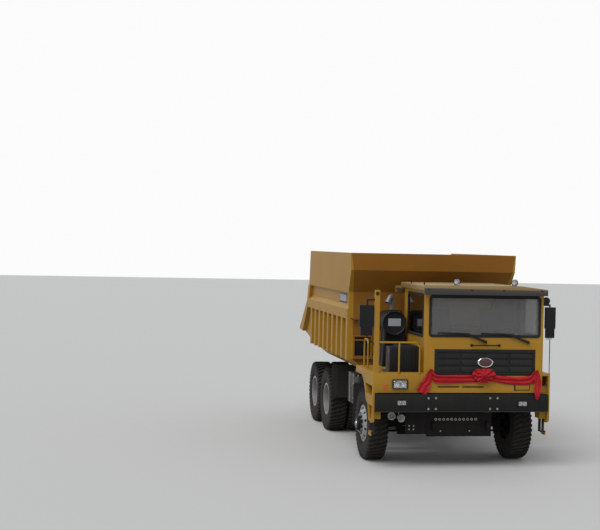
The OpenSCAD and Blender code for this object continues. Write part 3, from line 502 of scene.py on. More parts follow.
# Hoist tubes and rods, and the exhaust: turned or rolled steel, bright where it slides.
# The exhaust's silencer has three clamps, and its tail pipe ends in a hook whose mouth looks down.
bright_steel = painted("bright steel", tone(176, 178, 180), 0.24, dust=0.12, chips=0, metallic=1.0,
                       bump=0.0004)
wear(bright_steel, "hoist_tubes_1", "hoist_tubes_2", "hoist_tubes_3", "hoist_rods")
pipe_steel = painted("pipe steel", tone(120, 118, 118), 0.55, dust=0.2, chips=0.2, metallic=0.5)
silencer, upright = (-1.0, -2.035), (0, 0, 1)
can = turned([(0.001, 0), (0.06, 0), (0.11, 0.03), (0.11, 0.75), (0.06, 0.79), (0.001, 0.79)],
             (*silencer, 1.37), upright)
stack = [(*silencer, 2.15), (*silencer, 2.25), (-0.865, -2.035, 2.45), (-0.865, -2.035, 3.05),
         (-0.89, -2.06, 3.13), (-0.94, -2.1, 3.09), (-0.965, -2.12, 3.03)]
stack_end = Vector(stack[-1])
mouth_axis = (stack_end - Vector(stack[-2])).normalized()
tail = tube(stack, 0.05, bend=0.06)
mouth = turned([(0.046, -0.02), (0.058, -0.02), (0.064, 0.045), (0.059, 0.045), (0.05, 0.0)],
               stack_end, mouth_axis, steps=32)
exhaust = fitted([can, tail, mouth], "exhaust_with_hook", pipe_steel)
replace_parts(exhaust, "exhaust")
soot = turned([(0.001, 0), (0.054, 0), (0.054, 0.004), (0.001, 0.004)],
              stack_end + mouth_axis * 0.02, mouth_axis, steps=32)
fitted(soot, "exhaust_soot", painted("soot", tone(14, 10, 14), 0.9, dust=0, chips=0, shine=0.1))
clamps = []
for clamp_z in (1.45, 1.75, 2.08):
    clamps.append(turned([(0.108, 0), (0.116, 0), (0.118, 0.02), (0.116, 0.04), (0.108, 0.04)],
                         (*silencer, clamp_z), upright, steps=40))
fitted(clamps, "silencer_clamps", bright_steel)

# Tyres: tall crossply tyres with deep traction lugs that meet at the crown and wrap over the shoulder.
# One is moulded and copied to all ten places. Its sidewall has plain raised rings.
rubber = painted("tyre rubber", tone(27, 27, 28), 0.85, dust=0.16, chips=0, shine=0.2, bump=0.0006)
half_tyre = [(0.332, 0.146), (0.352, 0.160), (0.372, 0.163), (0.40, 0.166), (0.402, 0.172), (0.425, 0.178),
             (0.427, 0.182), (0.50, 0.190), (0.502, 0.187), (0.56, 0.188), (0.60, 0.185), (0.628, 0.178),
             (0.648, 0.158), (0.655, 0.12), (0.658, 0.05)]
other_half = [(radius, -along) for radius, along in reversed(half_tyre)]
outboard = (1, 0, 0)
carcass = turned(half_tyre + other_half, axis=outboard, steps=72)
lug_count = 44
one_lug = slab((0.002, -0.022, 0.645), (0.15, 0.022, 0.688))
with grasping(one_lug, lambda face: face.normal.x > 0.9):
    drawn_out(0.034, 0, -0.022)
    drawn_out(0.004, 0, -0.075)
for corner in one_lug.data.vertices:
    if corner.co.z > 0.66:
        corner.co.y *= 0.9
    corner.co.y += (corner.co.x - 0.09) * 0.42
ring = []
for step in range(lug_count):
    ring.append(turn_about("X", step * 360 / lug_count))
    ring.append(turn_about("X", (step + 0.5) * 360 / lug_count) @ turn_about("Z", 180))
one_tyre = joined(carcass, set_out(one_lug, ring))
wheels = {"front_left": (front_axle, 1), "front_right": (front_axle, -1)}
for row, axle_y in enumerate(rear_axles, 1):
    wheels[f"rear_{row}_left"] = (axle_y, 1)
    wheels[f"rear_{row}_right"] = (axle_y, -1)
for name, (axle_y, hand) in wheels.items():
    plural = "s" if name.startswith("rear") else ""
    middles = [track_half, track_half - twin_pitch] if plural else [track_half]
    spots = [moved_to(hand * x, axle_y, wheel_z) @ turn_about("Z", 90 - 90 * hand) for x in middles]
    tyre = joined(*[twin_of(one_tyre, spot) for spot in spots])
    fitted(tyre, f"tyre{plural}_{name}_moulded", rubber, f"wheel{plural}_{name}", soft=0.004, steps=1)
    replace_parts(tyre, f"tyre{plural}_{name}")
bpy.data.objects.remove(one_tyre)

# Mud flaps: a sheet of thick black rubber behind each front wheel and one before each pair of rear wheels,
# clamped to the frame by steel bars. The front wheel clears it at full lock.
# These dark sheets are also painted shade: they fill the shadow under the body between the front and rear
# wheels.
flap = panel((-1.035, -1.965, 0.95), 1.15, 0.86, 0.012, corner=0.04)
flap_bar = slab((-1.6, -1.981, 1.33), (-0.46, -1.957, 1.37))
fitted(both([flap, flap_bar]), "front_mud_flaps_and_painted_shade", rubber, soft=0.002)
rear_flap = panel((-1.12, 0.25, 1.17), 1.0, 0.72, 0.012, corner=0.04)
rear_bar = slab((-1.6, 0.234, 1.2), (-0.46, 0.258, 1.24))
rear_post = slab((-1.14, 0.234, 1.2), (-1.1, 0.258, 1.51))
fitted(both([rear_flap, rear_bar, rear_post]), "rear_mud_flaps_and_painted_shade", rubber, soft=0.002)

# Wheels: pressed steel discs and rims in silver paint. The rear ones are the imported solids, and a front one
# has a dished face with hand holes, so that its hub stands out past the tyre.
# Ten nuts on studs hold each one to its hub, which has a bolted cap, and a valve stands at the rim.
rim_silver = painted("rim silver", tone(150, 150, 152), 0.3, dust=0.16, metallic=0.35)
nut_count, nut_circle = 10, 0.168


def cut(piece, cutter):
    """Takes one shape out of another."""
    picked(piece)
    saw = piece.modifiers.new("cut", "BOOLEAN")
    saw.operation = "DIFFERENCE"
    saw.object = cutter
    bpy.ops.object.modifier_apply(modifier=saw.name)
    bpy.data.objects.remove(cutter)
    return piece


def second_finish(piece, finish, test):
    """Gives a piece's faces that pass a test another finish."""
    piece.data.materials.append(finish)
    for face in piece.data.polygons:
        if test(face):
            face.material_index = 1


def bolt_circle(x, count, radius):
    """Places for bolts round an axle, at a distance along it, which look outboard."""
    places = []
    for step in range(count):
        around = turn_about("X", step * 360 / count)
        places.append(moved_to(x, 0, 0) @ around @ moved_to(0, radius, 0) @ turn_about("Z", 90))
    return places


for name, (axle_y, hand) in wheels.items():
    plural = "s" if name.startswith("rear") else ""
    body = f"wheel{plural}_{name}"
    disc_x = track_half - 0.114 if plural else track_half + 0.216
    cap_x = track_half + 0.075 if plural else track_half + 0.3
    if plural:
        wear(rim_silver, f"rims_{name}")
    else:
        second_finish(softened(f"rim_{name}", rim_silver, 0.002), chassis_black,
                      lambda face: face.center.x * hand < track_half)
        dish = turned([(0.319, 0.095), (0.319, 0.12), (0.3, 0.15), (0.25, 0.2), (0.222, 0.212),
                       (0.19, 0.212), (0.19, 0.202), (0.218, 0.2), (0.242, 0.19), (0.29, 0.142),
                       (0.308, 0.115), (0.308, 0.095)], axis=outboard, steps=60)
        loose()
        bpy.ops.mesh.primitive_cylinder_add(vertices=20, radius=0.027, depth=0.2, location=(0.17, 0.272, 0),
                                            rotation=(0, math.pi / 2, 0))
        cut(dish, set_out(applied(), [turn_about("X", step * 36 + 18) for step in range(10)]))
        hub = turned([(0.001, 0.19), (0.215, 0.203), (0.215, 0.214), (0.21, 0.216), (0.14, 0.218),
                      (0.13, 0.28), (0.1, 0.298), (0.001, 0.3)], axis=outboard, steps=60)
        back = turned([(0.2, -0.11), (0.314, -0.11), (0.314, -0.06), (0.2, -0.06)], axis=outboard, steps=60)
        hub = joined(hub, back)
        wheel_place = moved_to(hand * track_half, axle_y, wheel_z) @ turn_about("Z", 90 - 90 * hand)
        dish.matrix_world = wheel_place
        hub.matrix_world = wheel_place
        fitted([dish], f"dish_{name}", rim_silver, body, soft=0.002, steps=1)
        fitted([hub], f"hub_{name}", chassis_black, body, soft=0.003)
    nuts = set_out(hex_bolt(0.021), bolt_circle(disc_x, nut_count, nut_circle))
    cap_bolts = set_out(hex_bolt(0.009), bolt_circle(cap_x - 0.002, 8, 0.078))
    cap = turned([(0.001, 0), (0.05, 0), (0.046, 0.014), (0.03, 0.02), (0.001, 0.021)],
                 (cap_x - 0.001, 0, 0), outboard, steps=32)
    valve = tube([(disc_x, 0.25, 0.1), (disc_x + 0.05, 0.28, 0.11)], 0.006)
    fittings = joined(nuts, cap_bolts, cap, valve)
    fittings.matrix_world = moved_to(0, axle_y, wheel_z) @ turn_about("Z", 90 - 90 * hand)
    fitted([fittings], f"{body}_nuts_and_cap", bright_steel, body)

# Tanks: a dark fuel tank at the left, a dark oil tank and two silver air bottles at the right.
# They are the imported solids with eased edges. Steel straps hold them, and caps close their necks.
tank_dark = painted("tank dark", tone(22, 24, 24), 0.5, dust=0.12, shine=0.3)
tank_silver = painted("tank silver", tone(42, 43, 44), 0.45, dust=0.12)
bottle_x, bottle_y = (-1.42, -1.18), -1.545


def on_bottle(face):
    """True for the faces of the air bottles."""
    return abs(face.center.y - bottle_y) < 0.11 and any(abs(face.center.x - x) < 0.107 for x in bottle_x)


second_finish(softened("tanks", tank_dark, 0.012), tank_silver, on_bottle)
straps = []
for strap_y in (-1.67, -1.27, -0.87):
    straps.append(turned([(0.299, 0), (0.304, 0), (0.304, 0.04), (0.299, 0.04)],
                         (0.95, strap_y, 1.01), (0, 1, 0)))
for strap_y in (-1.2, -0.86):
    straps.append(panel((-1.035, strap_y, 1.17), 0.842, 0.632, 0.04, corner=0.014, ring=0.006))
for x in bottle_x:
    for strap_z in (1.0, 1.3):
        straps.append(turned([(0.104, 0), (0.109, 0), (0.109, 0.03), (0.104, 0.03)],
                             (x, bottle_y, strap_z), upright))
fitted(straps, "tank_straps", bright_steel)
caps = []
for x, y, z, radius in ((0.95, -0.9, 1.3, 0.06), (-1.3, -0.95, 1.475, 0.05)):
    caps.append(turned([(0.001, 0), (radius, 0), (radius, 0.03), (radius * 1.1, 0.035), (radius * 1.1, 0.055),
                        (radius * 0.9, 0.065), (0.001, 0.065)], (x, y, z), upright, steps=24))
for x in bottle_x:
    caps.append(turned([(0.001, 0), (0.02, 0), (0.02, 0.03), (0.012, 0.045), (0.001, 0.045)],
                       (x, bottle_y, 1.445), upright, steps=16))
fitted(caps, "tank_caps", pipe_steel)

# Bumper and the guard below it: thick folded steel in dark paint, bolted to the frame in groups of four.
# Pale bushes line the guard's row of holes, a dark side plate is bolted beside it,
# and a thin strip runs along the bumper's lower lip.
bumper_black = painted("bumper black", tone(18, 20, 20), 0.55, dust=0.06, chips=0.05, shine=0.15)
softened("bumper", bumper_black, 0.012)
zinc = painted("zinc plate", tone(150, 148, 138), 0.4, dust=0.1, chips=0, metallic=0.5)
bumper_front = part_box("bumper")[0].y
guard_face = -3.995
bolts = [Vector((x, bumper_front, z)) for x in (-0.66, -0.52, 0.52, 0.66) for z in (1.14, 1.34)]
fitted(set_out(hex_bolt(0.016), bolts), "bumper_bolts", zinc)
bushes = []
for step in range(11):
    bushes.append(turned([(0.012, 0), (0.025, 0), (0.025, 0.004), (0.02, 0.006), (0.012, 0.004)],
                         (-0.455 + step * 0.077, guard_face, 0.92), steps=20))
guard_bolts = [Vector((x, guard_face - 0.01, z)) for x in (-0.965, -0.88) for z in (0.735, 0.8)]
guard_bolts += [Vector((x, guard_face, z)) for x, z in ((-0.52, 0.87), (-0.36, 0.7), (0.2, 0.7))]
fitted(joined(set_out(hex_bolt(0.011), guard_bolts), *bushes), "guard_bushes_and_bolts", zinc)
side_plate = panel((-0.825, guard_face, 0.855), 0.43, 0.42, 0.01, corner=0.03)
fitted(side_plate, "guard_side_plate", chassis_black, soft=0.003)
lip = panel((0, bumper_front + 0.004, 1.088), 3.28, 0.008, 0.006, corner=0.002)
fitted(lip, "bumper_lip", engine_grey, soft=0.001)

# Headlamps, bumper lamps, roof work lamps and tail lamps. A headlamp is a black case with two bright bowls
# behind one plain lens, at the right only: the left one's place has a painted cover in a dark rim.
# A work lamp is a pressed bowl in a bracket with its own lens.
front_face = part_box("cab_front")[0].y
lamp_case = painted("lamp case", tone(20, 22, 23), 0.45, dust=0.08, chips=0, shine=0.3)
reflector = painted("lamp reflector", tone(205, 206, 206), 0.14, dust=0.02, chips=0, metallic=0.9,
                    bump=0.0002)


def film_group():
    """The film of dust on glass or clear plastic, and the faint ripple in its surface."""
    group, given, place = shared_group("film on glass", {"Colour": (1, 1, 1, 1), "Roughness": 0.03})
    film = speckle(group, place, 3, 6)
    haze = added(group, "MapRange", {"Value": film, "From Min": 0.35, "From Max": 0.8})["Result"]
    rough = reckoned(group, "MULTIPLY_ADD", haze, 0.08, given["Roughness"])
    shade = blend(group, film, given["Colour"], deeper(group, given["Colour"], 0.92))
    feed(group.nodes.new("NodeGroupOutput"),
         {"Colour": shade, "Roughness": rough, "Height": speckle(group, place, 9)})
    return group


film_on_glass = film_group()


def see_through(name, colour, rough=0.03, transmission=1.0, ripple=0.0):
    """Glass or clear plastic."""
    return layered(name, film_on_glass, {"Colour": colour, "Roughness": rough}, 0.05 + ripple, 0.001,
                   {"Transmission Weight": transmission, "IOR": 1.45})


clear_glass = see_through("clear glass", (0.36, 0.38, 0.37, 1))
screen_glass = see_through("dusty windscreen", (0.5, 0.5, 0.49, 1), 0.03, 0.86)
lens_glass = see_through("lens glass", (0.93, 0.94, 0.94, 1), 0.05, ripple=0.4)
red_lens = see_through("red lens", (0.55, 0.02, 0.02, 1), 0.1, 0.5)
amber_lens = see_through("amber lens", (0.75, 0.16, 0.03, 1), 0.2, 0.25)
head_x, head_z, head_wide, head_high = 1.19, 1.59, 0.295, 0.18
head_at = (-head_x, front_face, head_z)
head_case = joined(panel(head_at, head_wide, head_high, 0.034, corner=0.022, ring=0.02),
                   panel(head_at, head_wide - 0.02, head_high - 0.02, 0.004, corner=0.015))
bowls = []
for x in (-head_x - 0.064, -head_x + 0.064):
    bowls.append(turned([(0.012, 0.005), (0.032, 0.008), (0.048, 0.015), (0.058, 0.028), (0.061, 0.028),
                         (0.052, 0.012), (0.034, 0.004), (0.012, 0.002)], (x, front_face, head_z)))
    bowls.append(turned([(0.001, 0.004), (0.011, 0.004), (0.013, 0.018), (0.008, 0.022), (0.001, 0.023)],
                        (x, front_face, head_z), steps=20))
bowls.append(panel((-head_x, front_face - 0.003, head_z), head_wide - 0.04, head_high - 0.04, 0.003,
                   corner=0.01))
head_lens = panel((-head_x, front_face - 0.0285, head_z), head_wide - 0.041, head_high - 0.041, 0.003,
                  corner=0.012)
cover_x, cover_z, cover_wide, cover_high = 1.155, 1.535, 0.3, 0.11
bumper_lamps, lamp_wide, lamp_high = ((-1.168, 1.254), (1.15, 1.238)), 0.176, 0.096
cover_rim = panel((cover_x, front_face, cover_z), cover_wide, cover_high, 0.008, corner=0.012, ring=0.009)
cover_hinge = panel((cover_x - cover_wide / 2 + 0.008, front_face, cover_z), 0.024, cover_high + 0.012, 0.014,
                    corner=0.006)
cases, backs, lenses = [head_case, cover_rim, cover_hinge], [joined(*bowls)], [head_lens]
for x, z in bumper_lamps:
    cases.append(panel((x, bumper_front, z), lamp_wide, lamp_high, 0.018, corner=0.01, ring=0.01))
    for side_step in (-0.04, 0.042):
        bowl = panel((x + side_step, bumper_front, z), 0.072, 0.076, 0.01, corner=0.006)
        backs.append(sunk(bowl, (0, -1, 0), 0.012, 0.007))
    lenses.append(panel((x, bumper_front - 0.0125, z), lamp_wide - 0.021, lamp_high - 0.021, 0.003,
                        corner=0.006))
for x in (-0.173, 0.941):
    spot = Vector((x, -4.165, 3.492))
    cases.append(turned([(0.001, 0), (0.024, 0), (0.042, 0.014), (0.056, 0.044), (0.062, 0.068),
                         (0.062, 0.078), (0.058, 0.078), (0.052, 0.05), (0.034, 0.02), (0.001, 0.014)], spot))
    backs.append(turned([(0.001, 0.016), (0.03, 0.02), (0.048, 0.045), (0.056, 0.072), (0.057, 0.072),
                         (0.05, 0.042), (0.032, 0.018), (0.001, 0.014)], spot))
    lenses.append(turned([(0.001, 0.073), (0.055, 0.07), (0.055, 0.073), (0.03, 0.08), (0.001, 0.082)], spot))
    bracket = [spot + Vector((x_step, -0.05, z_step))
               for x_step, z_step in ((-0.064, 0), (-0.03, -0.062), (0.03, -0.062), (0.064, 0))]
    cases.append(tube(bracket, 0.006, bend=0.02))
tail_at = (0.27, 3.325, 1.13)
tail_case = panel(tail_at, 0.14, 0.1, 0.026, corner=0.012, ring=0.012, facing=180)
tail_lens = panel(tail_at, 0.118, 0.078, 0.022, corner=0.008, facing=180)
cases.append(both(tail_case))
lamps = fitted(cases, "lamp_cases", lamp_case, soft=0.0015, steps=1)
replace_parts(lamps, "lamps")
fitted(backs, "lamp_bowls", reflector)
fitted(lenses, "lamp_lenses", lens_glass)
fitted(both(tail_lens), "tail_lenses", red_lens, soft=0.004)

# Amber marker strips: four short strips on the right side of the front panel.
# Each is moulded in amber plastic with rounded edges and pressed onto the panel.
strips = [panel((-1.458, front_face, 1.493 + step * 0.031), 0.085, 0.013, 0.008, corner=0.004)
          for step in range(4)]
fitted(strips, "marker_strips", amber_lens, soft=0.002)

# Horns: two pressed steel trumpets under the bumper at the right, turned a little apart.
# Each hangs on a stalk from the bumper's lower flange.
horns = []
for x, z, facing in ((-1.27, 0.985, (-0.5, -1, 0.1)), (-1.17, 0.965, (0.25, -1, -0.1))):
    horns.append(turned([(0.001, 0), (0.03, 0), (0.034, 0.05), (0.044, 0.09), (0.07, 0.12), (0.073, 0.125),
                         (0.066, 0.125), (0.04, 0.09), (0.022, 0.06), (0.001, 0.05)],
                        (x, -3.99, z), facing, steps=32))
    horns.append(tube([(x, -4.02, 1.0), (x, -4.02, 1.085)], 0.01))
fitted(horns, "horns", painted("horn grey", tone(146, 144, 140), 0.5, dust=0.15))

# Cab shell: folded and welded steel sheet in ochre enamel, with its edges rounded by the press.
# The slots in the front panel hold thin dark brown strips of painted shade, and a painted cover closes the
# left headlamp's place.
ochre = painted("ochre paint", tone(158, 117, 30), 0.5, dust=0.07, chips=0.1, shine=0.25)
softened("cab_front", ochre, 0.008)
for node in ("cab_sides", "cab_back", "door"):
    softened(node, ochre, 0.006)
# Painted shade: the roof has its own duller, darker copy of the ochre, for how light falls on its top.
softened("cab_roof", painted("roof ochre with painted shade", tone(136, 112, 66), 0.4, dust=0.1), 0.012)
backing = slab((-1.6, front_face + 0.051, 1.35), (1.5, front_face + 0.061, 1.5))
fitted(backing, "apron_backing", chassis_black, soft=0.002)
cover = panel((cover_x, front_face, cover_z), cover_wide - 0.014, cover_high - 0.014, 0.004, corner=0.008)
fitted(cover, "lamp_cover", ochre, soft=0.001)
# Painted shade: thin dark brown strips set inside the slots, where shade falls in the recess.
slot_shade_paint = painted("painted slot shade", tone(56, 34, 26), 0.7, dust=0.2, shine=0.2)
slot_shades = [panel((x, front_face + 0.0115, 1.54), 0.405, 0.024, 0.003, corner=0.004) for x in (-0.2675, 0.2095)]
fitted(slot_shades, "slot_painted_shade", slot_shade_paint)

# Windows: flat safety glass, faintly green, let into the steel and held by thick black rubber strip.
# A smoked plastic visor hangs on clips below the front edge of the roof.
screen = (-0.64, 2.49, 1.47, 3.21)
side_window = (-4.035, 2.48, -2.905, 3.24)
back_window = (-0.15, 2.56, 1.05, 3.12)
door_window = (-3.895, 2.48, -3.105, 3.24)
pane_thick = 0.008
seal_black = painted("seal rubber", tone(24, 24, 25), 0.7, dust=0.15, chips=0, shine=0.25, bump=0.0005)


def glazed(window, plane, facing, lap=0.026, strip=0.05, proud=0.013):
    """A pane that fills a window (low, low Z, high, high Z) in a wall's face, and the strip round it."""
    low, low_z, high, high_z = window
    middle, middle_z = (low + high) / 2, (low_z + high_z) / 2
    centre = Vector((middle, plane, middle_z) if facing in (0, 180) else (plane, middle, middle_z))
    inward = Vector({0: (0, 1, 0), 180: (0, -1, 0), 90: (-1, 0, 0), -90: (1, 0, 0)}[facing])
    width, height = high - low, high_z - low_z
    pane = panel(centre + inward * (0.004 + pane_thick), width - 0.002, height - 0.002, pane_thick,
                 facing=facing)
    seal = panel(centre, width + 2 * lap, height + 2 * lap, proud, 0.07, ring=strip, facing=facing)
    return pane, seal


panes, seals = [], []
for window, plane, facing in ((screen, front_face, 0), (side_window, -0.745, -90),
                              (back_window, -2.585, 180)):
    pane, seal = glazed(window, plane, facing)
    panes.append(pane)
    seals.append(seal)
seals.append(panel((0.415, front_face - 0.002, 3.25), 2.1, 0.034, 0.014, corner=0.01))
windows = fitted(panes, "window_panes", clear_glass)
second_finish(windows, screen_glass, lambda face: face.center.y < front_face + 0.02)
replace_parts(windows, "cab_glass")
fitted(seals, "window_seals", seal_black, soft=0.004)
door_face = 1.55
door_pane, door_seal = glazed(door_window, door_face, 90)
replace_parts(fitted(door_pane, "door_pane", clear_glass, "door"), "door_glass")
fitted(door_seal, "door_window_seal", seal_black, "door", soft=0.004)
smoked = see_through("smoked plastic", (0.06, 0.055, 0.05, 1), 0.2, 0.3)
visor_front = -4.275
visor = panel((0.3875, visor_front - 0.002, 3.313), 2.375, 0.118, 0.01, corner=0.012)
for corner in visor.data.vertices:
    if corner.co.z > 3.32:
        corner.co.z -= (corner.co.x + 0.8) * 0.01
fitted(visor, "visor", smoked, soft=0.003)
clips = [panel((x, visor_front - 0.011, 3.345), 0.04, 0.025, 0.005, corner=0.004)
         for x in (-0.72, 0.1, 0.72, 1.46)]
fitted(clips, "visor_clips", lamp_case, soft=0.001)

# Wipers: two spring arms on pivots below the windscreen, each with a hinged blade of rubber.
# A black grab bar with round feet is screwed to the panel between them.
moulded_black = painted("moulded black", tone(14, 14, 16), 0.5, dust=0.05, chips=0, shine=0.25)
wipers, arm_y = [], front_face - 0.03
for pivot_x, pivot_z in ((0.409, 2.39), (1.235, 2.385)):
    wipers.append(turned([(0.001, 0), (0.024, 0), (0.026, 0.014), (0.016, 0.03), (0.001, 0.034)],
                         (pivot_x, front_face, pivot_z), steps=24))
    arm = slab((pivot_x - 0.32, arm_y - 0.012, pivot_z - 0.03),
               (pivot_x + 0.035, arm_y + 0.01, pivot_z + 0.028))
    for corner in arm.data.vertices:
        reach = pivot_x - corner.co.x
        corner.co.z += reach * 0.36
        if reach > 0.2:
            corner.co.z += (pivot_z + reach * 0.36 - corner.co.z) * 0.55
            corner.co.y -= 0.012
    wipers.append(arm)
    wipers.append(tube([(pivot_x - 0.31, arm_y - 0.013, pivot_z + 0.112),
                        (pivot_x - 0.46, arm_y - 0.013, pivot_z + 0.15),
                        (pivot_x - 0.56, arm_y, pivot_z + 0.152)], 0.009))
    blade = slab((pivot_x - 0.9, front_face - 0.034, pivot_z + 0.119),
                 (pivot_x - 0.28, front_face - 0.008, pivot_z + 0.147))
    for corner in blade.data.vertices:
        rise = (pivot_x - 0.28 - corner.co.x) * 0.035
        corner.co.z += rise
        if corner.co.y > front_face - 0.015:
            lip_z = 0.135 if corner.co.z > pivot_z + 0.14 else 0.131
            corner.co.z = pivot_z + lip_z + rise
    wipers.append(blade)
bar_left, bar_right, bar_z = 0.161, 0.692, 2.317
wipers.append(tube([(bar_left, front_face, bar_z), (bar_left, front_face - 0.05, bar_z),
                    (bar_right, front_face - 0.05, bar_z), (bar_right, front_face, bar_z)], 0.012, bend=0.03))
for x in (bar_left, bar_right):
    wipers.append(turned([(0.001, 0), (0.028, 0), (0.028, 0.005), (0.014, 0.012), (0.001, 0.012)],
                         (x, front_face, bar_z), steps=24))
fitted(wipers, "wipers_and_grab_bar", moulded_black, soft=0.001, steps=1)

# Grille: a moulded black panel of shallow louvres, four across and three down, with a plain oval badge.
# The badge is a bright ring on a dark plate, and nothing is written on it.
grille_black = painted("grille black", tone(22, 22, 22), 0.5, dust=0.06, chips=0, shine=0.2)
softened("grille", grille_black, 0.004)
oval = moved_to(0.433, front_face + 0.006, 1.997) @ Matrix.Diagonal((1.62, 1, 1, 1))
plate_red = painted("badge plate", tone(66, 24, 28), 0.3, dust=0.05, chips=0, coat=0.3)
ring_outline = [(0.076, 0), (0.093, 0), (0.093, 0.012), (0.086, 0.02), (0.078, 0.016)]
plate_outline = [(0.001, 0), (0.079, 0), (0.079, 0.011), (0.05, 0.014), (0.001, 0.015)]
for outline, name, finish in ((ring_outline, "ring", reflector), (plate_outline, "plate", plate_red)):
    badge = turned(outline, steps=64)
    badge.matrix_world = oval
    fitted([badge], f"badge_{name}", finish)

# Driver's door fittings: a moulded pull handle over a pressed cup, with a lock under it.
# They are screwed to the door and swing with it.
cup = sunk(panel((door_face, -3.18, 2.24), 0.17, 0.09, 0.006, corner=0.02, facing=90), (1, 0, 0), 0.01, 0.005)
pull = tube([(door_face + 0.004, -3.245, 2.24), (door_face + 0.03, -3.235, 2.24),
             (door_face + 0.03, -3.125, 2.24), (door_face + 0.004, -3.115, 2.24)], 0.009, bend=0.02)
lock = turned([(0.001, 0), (0.014, 0), (0.013, 0.006), (0.001, 0.007)], (door_face, -3.18, 2.165), outboard,
              steps=24)
fitted([cup, pull, lock], "door_handle", moulded_black, "door", soft=0.002)

# Dashboard and controls: a moulded black shelf with a hooded gauge pod, a gear lever and a column stalk.
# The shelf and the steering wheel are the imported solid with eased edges. Grey moulded panels line the walls.
softened("dashboard", moulded_black, 0.006)
pod = panel((0.95, -3.78, 2.46), 0.4, 0.12, 0.07, corner=0.03, facing=180)
sunk(pod, (0, 1, 0), 0.012, 0.02)
lever = joined(tube([(0.42, -3.35, 1.79), (0.42, -3.36, 2.1), (0.43, -3.33, 2.3)], 0.012),
               turned([(0.001, 0), (0.02, 0.004), (0.026, 0.025), (0.02, 0.046), (0.001, 0.05)],
                      (0.43, -3.33, 2.29), (0, 0.2, 1), steps=24))
boot = turned([(0.001, 0), (0.07, 0), (0.045, 0.05), (0.05, 0.055), (0.028, 0.11), (0.001, 0.11)],
              (0.42, -3.35, 1.795), upright, steps=24)
stalk = tube([(0.99, -3.7, 2.36), (1.14, -3.72, 2.38)], 0.008)
fitted([pod, lever, boot, stalk], "cab_controls", moulded_black, soft=0.002)
lining_grey = painted("cab lining", tone(66, 69, 72), 0.75, dust=0.08, chips=0, shine=0.2)
back_inside, right_inside, left_inside = -2.637, -0.693, 1.498
lining = [sunk(slab((-0.66, -4.06, 3.29), (1.46, -2.66, 3.328)), (0, 0, -1), 0.06, 0.008)]
for spot, width, height, facing in (((0.4, back_inside, 2.17), 2.18, 0.72, 0),
                                    ((-0.42, back_inside, 2.93), 0.5, 0.74, 0),
                                    ((1.28, back_inside, 2.93), 0.42, 0.74, 0),
                                    ((right_inside, -3.36, 2.13), 1.4, 0.64, 90),
                                    ((right_inside, -2.765, 2.89), 0.24, 0.72, 90),
                                    ((left_inside, -2.815, 2.56), 0.36, 1.44, -90)):
    lining.append(panel(spot, width, height, 0.018, corner=0.04, facing=facing))
fitted(lining, "cab_lining", lining_grey, soft=0.003)
door_trim = panel((left_inside, -3.49, 2.13), 0.88, 0.58, 0.018, corner=0.05, facing=-90)
sunk(door_trim, (-1, 0, 0), 0.05, 0.006)
fitted(door_trim, "door_lining", lining_grey, "door", soft=0.003)
mat_black = painted("floor mat", tone(34, 34, 35), 0.8, dust=0.1, chips=0, shine=0.2)
wear(mat_black, "cab_floor")


# Seats: foam cushions in a sewn woven cover, on a boxed steel stand with a black skirt.
# The foam is swollen by simulated pressure, then the sewn channels are drawn in.
def weave_group():
    """Crossing threads, with a slow change of shade over the cloth."""
    group, given, place = shared_group("weave", {"Colour": (1, 1, 1, 1), "Fineness": 80},
                                       ("Colour", "Height"))
    warp, weft = (added(group, "TexWave", {"Vector": place, "Scale": given["Fineness"], "Distortion": 0.6},
                        bands_direction=direction)["Fac"] for direction in ("X", "Z"))
    crossing = reckoned(group, "MAXIMUM", warp, weft)
    mixed = reckoned(group, "MULTIPLY_ADD", crossing, 0.3, speckle(group, place, 6, 5))
    shade = blend(group, mixed, deeper(group, given["Colour"], 0.7), deeper(group, given["Colour"], 1.2))
    feed(group.nodes.new("NodeGroupOutput"), {"Colour": shade, "Height": crossing})
    return group


weave = weave_group()


def woven(name, colour, pitch, sheen, rough=0.8, depth=0.0008):
    """Cloth of crossing threads, set by the distance from one thread to the next."""
    return layered(name, weave, {"Colour": colour, "Fineness": 0.32 / pitch}, 0.4, depth,
                   {"Roughness": rough, "Sheen Weight": sheen, "Specular IOR Level": 0.25})


def stuffed(low, high, channels, top):
    """A foam pad in its cover. Channels are places across X where the cover is sewn down on its top face."""
    pad = slab(low, high)
    with editing():
        bpy.ops.mesh.bevel(offset=0.026, segments=3, affect="EDGES")
    voxels = pad.modifiers.new("even mesh", "REMESH")
    voxels.mode = "VOXEL"
    voxels.voxel_size = 0.006
    bpy.ops.object.modifier_apply(modifier=voxels.name)
    before = [corner.co.copy() for corner in pad.data.vertices]
    cloth = pad.modifiers.new("stuffing", "CLOTH")
    cloth.settings.quality = 4
    cloth.settings.use_pressure = True
    cloth.settings.uniform_pressure_force = 4
    cloth.settings.effector_weights.gravity = 0
    for step in range(1, 21):
        scene.frame_set(step)
    bpy.ops.object.modifier_apply(modifier=cloth.name)
    scene.frame_set(1)
    for corner, was in zip(pad.data.vertices, before):
        moved = corner.co - was
        if moved.length > 0.022:
            corner.co = was + moved.normalized() * 0.022
        for channel in channels:
            near = abs(corner.co.x - channel) / 0.014
            if near < 1 and (corner.co - was).dot(Vector(top)) > 0:
                corner.co -= Vector(top) * 0.012 * (1 - near) ** 2
    return pad


